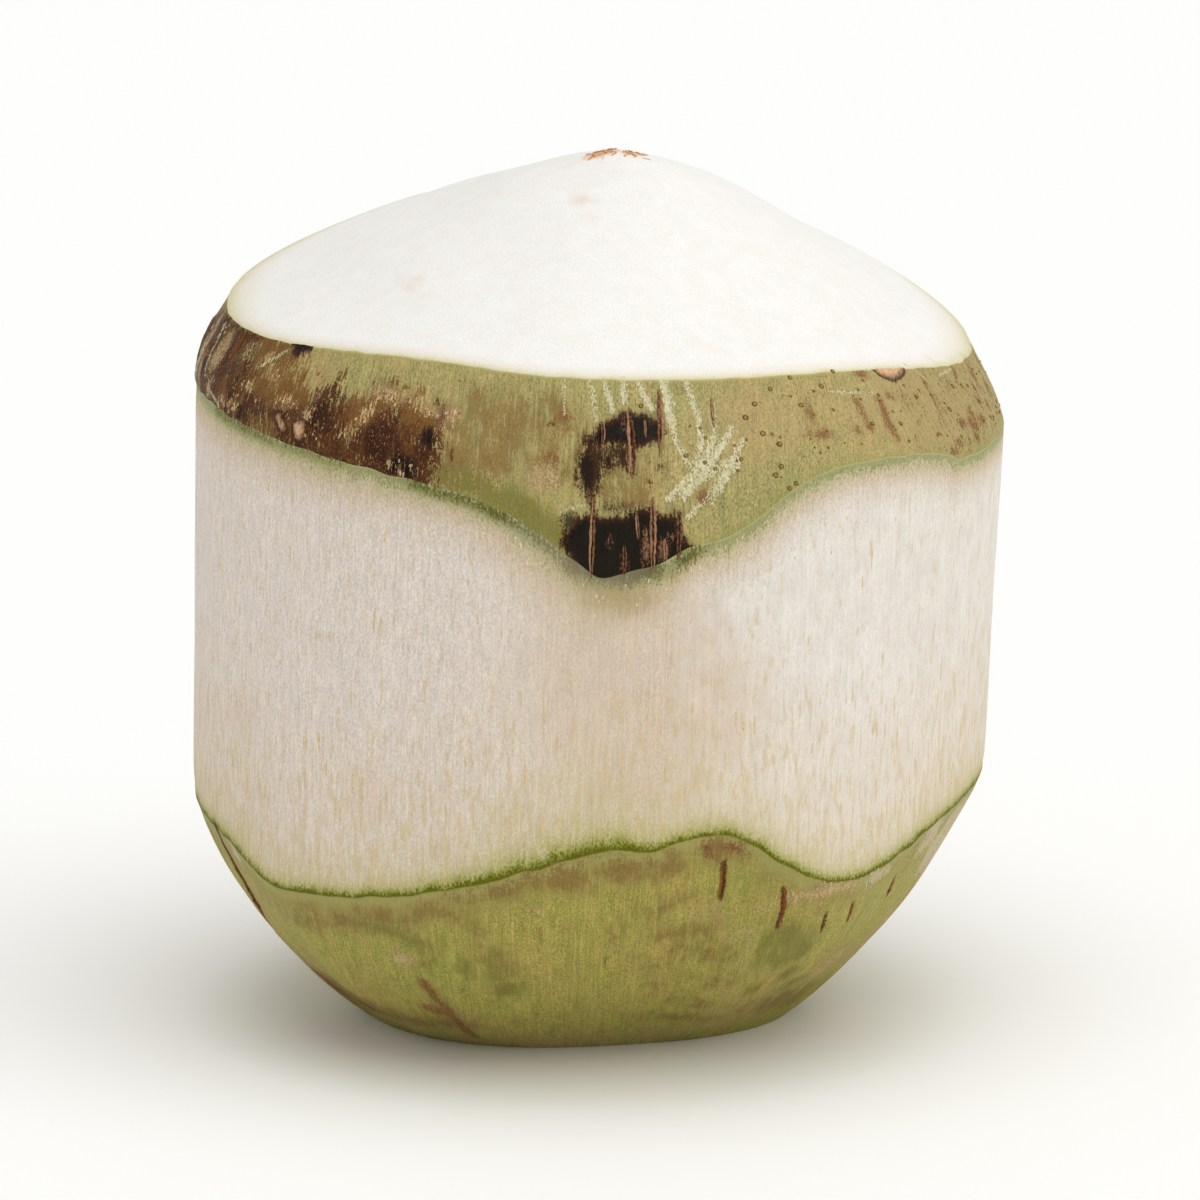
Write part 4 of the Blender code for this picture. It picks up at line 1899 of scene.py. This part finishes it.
@dataclass
class SplitLips:
    """Dry fibre that has lifted on both sides of the splits in the skin.

    The widths and shifts are shares of a split's width. `late` and `full` say how far along a
    split a lip starts at the most and ends, and `ends` and `blunt` how it tapers to its ends.
    """

    name: str
    body: HuskBody
    finish: FleckFinish
    splits: tuple[Split, ...]
    step: float = 0.45
    sides: int = 8
    sunk: float = 0.25
    late: float = 0.12
    full: float = 0.97
    ends: Pair = (0.03, 0.94)
    blunt: float = 0.7
    wide: float = 0.21
    wide_range: Pair = (0.7, 1.3)
    high_range: Pair = (0.5, 1.2)
    apart: float = 0.27
    spread: Pair = (0.35, 0.65)
    ragged: float = 0.06

    def build(self) -> bpy.types.Object:
        """Makes all the lips as one object.

        Returns:
            The object.
        """
        points, faces, shades = [], [], []
        rng = np.random.default_rng(len(self.splits))
        for split in self.splits:
            for hand in (-1.0, 1.0):
                lip_points, lip_faces = self.lip(split, hand, rng)
                start = len(points)
                faces.extend([tuple(start + corner for corner in face) for face in lip_faces])
                points.extend(lip_points)
                shades.extend([rng.uniform(0.0, 1.0)] * len(lip_points))
        return shaded_piece(self.name, points, faces, shades, self.finish)

    def lip(self, split: Split, hand: float, rng: np.random.Generator) -> tuple[list, list]:
        """One lip of a split, closed at both ends.

        Args:
            split: The split's path and sizes.
            hand: 1 for the lip on the right of the path, -1 for the other.
            rng: Random numbers for its uneven edges.

        Returns:
            Its points in metres and its faces.
        """
        path = along_path(self.body, split.points, self.step)
        last = len(path) - 1
        first = rng.uniform(0.0, self.late)
        points = []
        for number, (origin, side, _, out) in enumerate(path):
            share = first + (self.full - first) * number / last
            taper = math.sin(math.pi * (self.ends[0] + self.ends[1] * number / last)) ** self.blunt
            wide = self.wide * split.width * taper * rng.uniform(*self.wide_range)
            high = split.rise * taper * rng.uniform(*self.high_range)
            bow = self.spread[0] + self.spread[1] * math.sin(math.pi * share)
            shift = hand * self.apart * split.width * bow
            shift += self.ragged * split.width * rng.uniform(-1.0, 1.0)
            for corner in range(self.sides):
                angle = TURN * corner / self.sides
                lift = math.sin(angle)
                level = high * lift if lift > 0.0 else self.sunk * lift
                points.append((origin + side * (shift + wide * math.cos(angle)) + out * level) * MM)
        faces = []
        for ring in range(last):
            for corner in range(self.sides):
                after = (corner + 1) % self.sides
                a, b = ring * self.sides, (ring + 1) * self.sides
                faces.append((a + corner, a + after, b + after, b + corner))
        faces.append(tuple(range(self.sides - 1, -1, -1)))
        faces.append(tuple(last * self.sides + corner for corner in range(self.sides)))
        return points, faces


SOOT_SPLITS = (
    Split(((0.1, 98.8), (0.2, 97.3), (0.2, 95.8)), 0.7),
    Split(((4.0, 100.6), (4.4, 97.0), (4.6, 91.8)), 1.25),
    Split(((9.0, 102.8), (9.0, 98.8), (8.7, 94.0)), 1.05),
    Split(((-0.9, 88.8), (-0.9, 84.0), (-0.9, 78.0)), 0.9),
    Split(((3.5, 82.6), (3.6, 80.6), (3.5, 78.4)), 0.7),
    Split(((7.4, 89.0), (7.4, 84.5), (7.4, 78.8)), 1.05),
    Split(((11.0, 87.0), (11.0, 84.2), (10.8, 80.4)), 0.9),
    Split(((5.1, 87.0), (5.4, 83.3)), 0.6, 0.2),
    Split(((9.0, 83.4), (9.1, 80.2)), 0.6, 0.2),
    Split(((6.5, 99.0), (6.6, 96.6)), 0.4, 0.15),
    Split(((17.5, 101.6), (17.3, 97.6)), 0.6, 0.15),
    Split(((-24.3, 100.8), (-23.8, 98.4), (-24.4, 96.0)), 0.7, 0.2),
)
DARK_SPLITS = (
    Split(((20.0, 35.8), (20.7, 32.4), (21.2, 29.2)), 1.1, 0.12),
    Split(((29.6, 31.2), (31.0, 27.6), (31.8, 23.8)), 1.0, 0.12),
    Split(((39.2, 25.6), (41.6, 21.4)), 0.7, 0.1),
    Split(((43.8, 26.8), (47.2, 22.2)), 0.65, 0.1),
    Split(((54.6, 28.8), (58.4, 23.0)), 0.7, 0.1),
    Split(((-68.8, 33.0), (-68.4, 29.3), (-68.4, 25.0), (-69.6, 20.4), (-73.0, 16.3)), 1.9, 0.25),
    Split(((-69.5, 106.1), (-69.8, 104.4), (-69.8, 102.4)), 0.7, 0.2),
)


@dataclass
class Grazes:
    """Scratches through the wax, full of pale crumbs of torn skin.

    `ends` and `blunt` say how the ribbon along a scratch tapers to its ends, and `thin_edge` how
    many fewer crumbs its edges carry than its middle.
    """

    body: HuskBody
    step: float = 0.6
    trails: tuple[Trail, ...] = GRAZES
    ends: Pair = (0.1, 0.8)
    blunt: float = 0.7
    thin_edge: float = 0.5

    def carrier(self) -> bpy.types.Mesh:
        """Makes ribbons along the scratches, which carry the crumbs.

        Returns:
            Their mesh, with the weight and the grain's direction.
        """
        points, faces, weights, grains = [], [], [], []
        for trail in self.trails:
            path = along_path(self.body, trail.points, self.step)
            first = len(points)
            last = len(path) - 1
            for number, (origin, side, forward, _) in enumerate(path):
                along = self.ends[0] + self.ends[1] * number / last
                taper = math.sin(math.pi * along) ** self.blunt
                for lean in (-1.0, 0.0, 1.0):
                    points.append(tuple((origin + side * lean * trail.width * taper) * MM))
                    weights.append(1.0 - self.thin_edge * abs(lean))
                    grains.append(tuple(forward))
            for a in range(first, first + 3 * last, 3):
                faces.extend([(a, a + 1, a + 4, a + 3), (a + 1, a + 2, a + 5, a + 4)])
        mesh = bpy.data.meshes.new("graze_ribbons")
        mesh.from_pydata(points, [], faces)
        add_values(mesh, "weight", weights)
        add_values(mesh, "grain", grains)
        return mesh


@dataclass
class Lenticels:
    """The skin's pores: low cork rings round a paler middle, each closed below the skin.

    `spots` are the ones seen in the photograph, by azimuth and height. Smaller ones lie between
    them, `more` in number. Both have shares of `radius` as wide as the two ranges say. `profile`
    gives share of the radius, height in millimetres and shade.
    """

    name: str
    body: HuskBody
    finish: FleckFinish
    radius: float = 0.42
    seen_range: Pair = (0.85, 1.1)
    more_range: Pair = (0.35, 0.75)
    sides: int = 10
    more: int = 64
    seed: int = 6
    margin: float = 0.12
    azimuths: Pair = (10.0, 95.0)
    sunk: float = 0.15
    profile: tuple[Triple, ...] = (
        (0.4, 0.03, 0.9), (0.65, 0.1, 0.0), (0.9, 0.06, 0.1), (1.1, -0.1, 0.3),
    )
    spots: Path = (
        (24.5, 100.3), (28, 102), (32.5, 103.1), (42, 103.1), (22.5, 98.7), (32, 99.6),
        (26.5, 95.2), (26, 92.4), (25, 91.3), (26.5, 89.5), (27.5, 90.1), (24.5, 96.6),
        (57, 98.1), (64, 95.4), (70, 97.9), (72.5, 97.5), (43, 96.4), (48.5, 95.7),
        (37.5, 101.5), (12.5, 94.3), (9.5, 97.3), (6, 100.8),
    )

    def places(self) -> list[Triple]:
        """Sets out the pores.

        Returns:
            Azimuth, height and radius of each.
        """
        rng = np.random.default_rng(self.seed)
        found = [(*spot, self.radius * rng.uniform(*self.seen_range)) for spot in self.spots]
        for _ in range(self.more):
            azimuth = np.array([rng.uniform(*self.azimuths)])
            share = np.array([rng.uniform(self.margin, 1.0 - self.margin)])
            point = self.body.form.surface(Zone.BAND, share, azimuth)[0]
            found.append((azimuth[0], point[2], self.radius * rng.uniform(*self.more_range)))
        return found

    def build(self) -> bpy.types.Object:
        """Makes all the pores as one object.

        Returns:
            The object.
        """
        points, faces, shades = [], [], []
        for azimuth, height, radius in self.places():
            origin, across, up, out = self.body.seat(azimuth, height)
            first = len(points)
            points.extend([origin + out * self.profile[0][1], origin - out * self.sunk])
            shades.extend([self.profile[0][2], self.profile[-1][2]])
            for share, rise, shade in self.profile:
                for side in range(self.sides):
                    angle = TURN * side / self.sides
                    way = across * math.cos(angle) + up * math.sin(angle)
                    points.append(origin + way * radius * share + out * rise)
                    shades.append(shade)
            last = first + 2 + (len(self.profile) - 1) * self.sides
            for side in range(self.sides):
                after = (side + 1) % self.sides
                faces.append((first, first + 2 + side, first + 2 + after))
                faces.append((first + 1, last + after, last + side))
                for ring in range(first + 2, last, self.sides):
                    below = ring + self.sides
                    faces.append((ring + side, below + side, below + after, ring + after))
        points = [point * MM for point in points]
        return shaded_piece(self.name, points, faces, shades, self.finish)


@dataclass(frozen=True)
class SoftSun:
    """Far soft light: the way towards it, its strength and its width in degrees."""

    name: str
    towards: Triple
    strength: float
    width: float


@dataclass(frozen=True)
class Studio:
    """Plain pale floor, soft light and the camera, in metres."""

    elevation: float = 12.0
    distance: float = 0.950
    aim: Triple = (0.00377, 0.0, 0.0623)
    pixels_per_radian: float = 6397.0
    frame_pixels: float = 1200.0
    sensor: float = 36.0
    furthest: float = 50.0
    floor_size: float = 8.0
    floor_white: str = "#fcfcfa"
    floor_roughness: float = 0.85
    sky: float = 0.60
    suns: tuple[SoftSun, ...] = (
        SoftSun("overhead", (0.12, -0.25, 1.0), 1.25, 60.0),
        SoftSun("right", (1.0, -0.3, 0.35), 0.5, 50.0),
    )

    def build(self) -> None:
        """Makes the camera, the lights, the sky and the floor."""
        self.camera()
        for sun in self.suns:
            data = bpy.data.lights.new(sun.name, "SUN")
            data.energy = sun.strength
            data.angle = math.radians(sun.width)
            lamp = bpy.data.objects.new(sun.name, data)
            lamp.rotation_mode = "QUATERNION"
            lamp.rotation_quaternion = Vector(sun.towards).to_track_quat("Z", "Y")
            bpy.context.scene.collection.objects.link(lamp)
        world = bpy.data.worlds.new("studio")
        world.use_nodes = True
        sky = world.node_tree.nodes["Background"].inputs
        sky["Color"].default_value = (1.0, 1.0, 1.0, 1.0)
        sky["Strength"].default_value = self.sky
        bpy.context.scene.world = world
        bpy.context.scene.view_settings.view_transform = "Standard"
        self.floor()

    def camera(self) -> None:
        """Makes the camera, at the photograph's viewing angle."""
        data = bpy.data.cameras.new("camera")
        data.sensor_width = self.sensor
        data.lens = self.pixels_per_radian / self.frame_pixels * self.sensor
        data.clip_end = self.furthest
        camera = bpy.data.objects.new("camera", data)
        tilt = math.radians(self.elevation)
        back = Vector((0.0, -math.cos(tilt), math.sin(tilt)))
        camera.location = Vector(self.aim) + back * self.distance
        camera.rotation_mode = "QUATERNION"
        camera.rotation_quaternion = (-back).to_track_quat("-Z", "Y")
        bpy.context.scene.collection.objects.link(camera)
        bpy.context.scene.camera = camera

    def floor(self) -> None:
        """Makes the plain floor of white matt card."""
        half = self.floor_size / 2.0
        mesh = bpy.data.meshes.new("floor")
        corners = [(-half, -half, 0.0), (half, -half, 0.0), (half, half, 0.0), (-half, half, 0.0)]
        mesh.from_pydata(corners, [], [(0, 1, 2, 3)])
        paint = Painter("white_card", Pattern.SOLID)
        card = paint.finish(linear(self.floor_white), 0.5, 0.0, self.floor_roughness)
        mesh.materials.append(card)
        floor = bpy.data.objects.new("floor", mesh)
        bpy.context.scene.collection.objects.link(floor)


TOP_PITH = CutAcrossFinish("pith_cut_across", Pattern.SOLID, TOP_STAINS)
SIDE_PITH = CutAlongFinish("pith_cut_along", Pattern.WRAP, SIDE_STAINS)
SKIN = SkinFinish("waxy_husk_skin", Pattern.WRAP, SKIN_STAINS)


@dataclass(frozen=True)
class Growth:
    """How thickly the small pieces lie at each point of the husk.

    Each pair says where they start and where all are there: in millimetres from an edge, up the
    husk or inside a stain, in degrees round it, or in a ripple's own height.
    """

    body: HuskBody
    fibres_start: Pair = (1.2, 2.6)
    fibres_end: Pair = (6.0, 13.0)
    fibres_front: float = 5.0
    fibres_aside: Pair = (12.0, 40.0)
    vessels_start: Pair = (3.0, 7.0)
    vessel_bunch: Ripple = Ripple(1.0, (7.0, 7.0, 16.0), 31)
    vessel_bunches: Pair = (0.3, 1.4)
    vessels_between: float = 0.12
    vessels_high: Pair = (40.0, 66.0)
    fewer: float = 0.75
    flakes_start: Pair = (0.0, 1.2)
    flake_bunch: Ripple = Ripple(1.0, (3.0, 3.0, 5.0), 32)
    flake_bunches: Pair = (0.2, 1.2)
    flakes_brown: float = 0.5
    flakes_pale: Pair = (-0.5, 0.4)
    tuft_start: Pair = (-0.4, 1.2)

    def fibres(self) -> Array:
        """Cut ends of fibres stand out of the side under its upper edge, mostly at the front.

        Returns:
            How thickly they stand at each point.
        """
        below = self.body.gaps["below_upper"]
        near = smooth_step(below, *self.fibres_start)
        near = near * (1.0 - smooth_step(below, *self.fibres_end))
        azimuth = np.degrees(np.arctan2(self.body.wrap[:, 0], -self.body.wrap[:, 1]))
        aside = smooth_step(np.abs(azimuth - self.fibres_front), *self.fibres_aside)
        return near * (1.0 - self.fewer * aside) * self.body.in_zones(Zone.SIDE)

    def vessels(self) -> Array:
        """Straw-yellow vessels show on the cut side in bunches, more of them lower down.

        Returns:
            How thickly they lie at each point.
        """
        gaps = self.body.gaps
        inside = np.minimum(gaps["below_upper"], -gaps["below_lower"])
        clear = smooth_step(inside, *self.vessels_start)
        bunch = smooth_step(self.vessel_bunch.at(self.body.wrap), *self.vessel_bunches)
        low = 1.0 - self.fewer * smooth_step(self.body.points[:, 2], *self.vessels_high)
        return clear * low * (self.vessels_between + bunch) * self.body.in_zones(Zone.SIDE)

    def flakes(self) -> Array:
        """The skin's brown scurf lifts into flakes in bunches, and wherever it is pale.

        Returns:
            How thickly they lie at each point.
        """
        scurf = smooth_step(self.body.depths["scurf"], *self.flakes_start)
        bunch = smooth_step(self.flake_bunch.at(self.body.wrap), *self.flake_bunches)
        pale = smooth_step(self.body.depths["bloom"], *self.flakes_pale)
        return (scurf * bunch * self.flakes_brown + pale) * self.body.in_zones(Zone.BAND)

    def tufts(self) -> Array:
        """Torn fibres stand round the stem's scar."""
        near = smooth_step(self.body.depths["stem"], *self.tuft_start)
        return near * self.body.in_zones(Zone.TOP)


def main() -> None:
    """Builds the coconut and the studio, and reports each piece."""
    logging.basicConfig(level=logging.INFO, format="%(message)s")
    low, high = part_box(NODE)
    form = HuskForm(height=(high.z - low.z) / MM - HuskForm.scar_rise)
    body = HuskBody(form)
    pieces = [body.build()]
    fibre = FleckFinish("pale_fibre", "#cdbd96", "#e2d5b6")
    vessel = FleckFinish("straw_vessel", "#d4bd85", "#e3d2a6")
    flake = FleckFinish("dry_scurf", "#7c5226", "#cdb98c")
    pore = FleckFinish("cork_pore", "#6b4a1e", "#a08a50")
    crumb = FleckFinish("torn_skin", "#c3bc90", "#e2dbba")
    torn = FleckFinish("stem_fibre", "#a9602c", "#e8c193")
    dry = FleckFinish("split_fibre", "#4f2715", "#a97d5c")
    bark = FleckFinish("bark_fibre", "#4a2208", "#8f5424")
    growth = Growth(body)
    scatters = (
        (Scatter("side_fibres", fibre, 0.26, 0.9, 0.03, 40.0, seed=3), growth.fibres()),
        (Scatter("side_vessels", vessel, 0.4, 4.0, 0.025, 9.0, seed=4), growth.vessels()),
        (Scatter("scurf_flakes", flake, 0.5, 1.0, 0.1, 70.0, seed=5, turn=25), growth.flakes()),
        (Scatter("stem_tuft", torn, 0.22, 1.8, 0.2, 160.0, seed=7, turn=30), growth.tufts()),
    )
    for scatter, weights in scatters:
        pieces.append(scatter.build(body.carrier(weights)))
    crumbs = Scatter(
        "graze_crumbs", crumb, 0.22, 0.5, 0.06, 1500.0, seed=8, turn=40, sides=5, rounds=3
    )
    pieces.append(crumbs.build(Grazes(body).carrier()))
    pieces.append(Lenticels("lenticels", body, pore).build())
    pieces.append(SplitLips("splits", body, dry, SOOT_SPLITS).build())
    pieces.append(SplitLips("dark_splits", body, bark, DARK_SPLITS).build())
    Studio().build()
    for piece in pieces:
        size = len(piece.data.polygons)
        LOG.info("%s: %d faces, %d vertices", piece.name, size, len(piece.data.vertices))


if __name__ == "__main__":
    main()
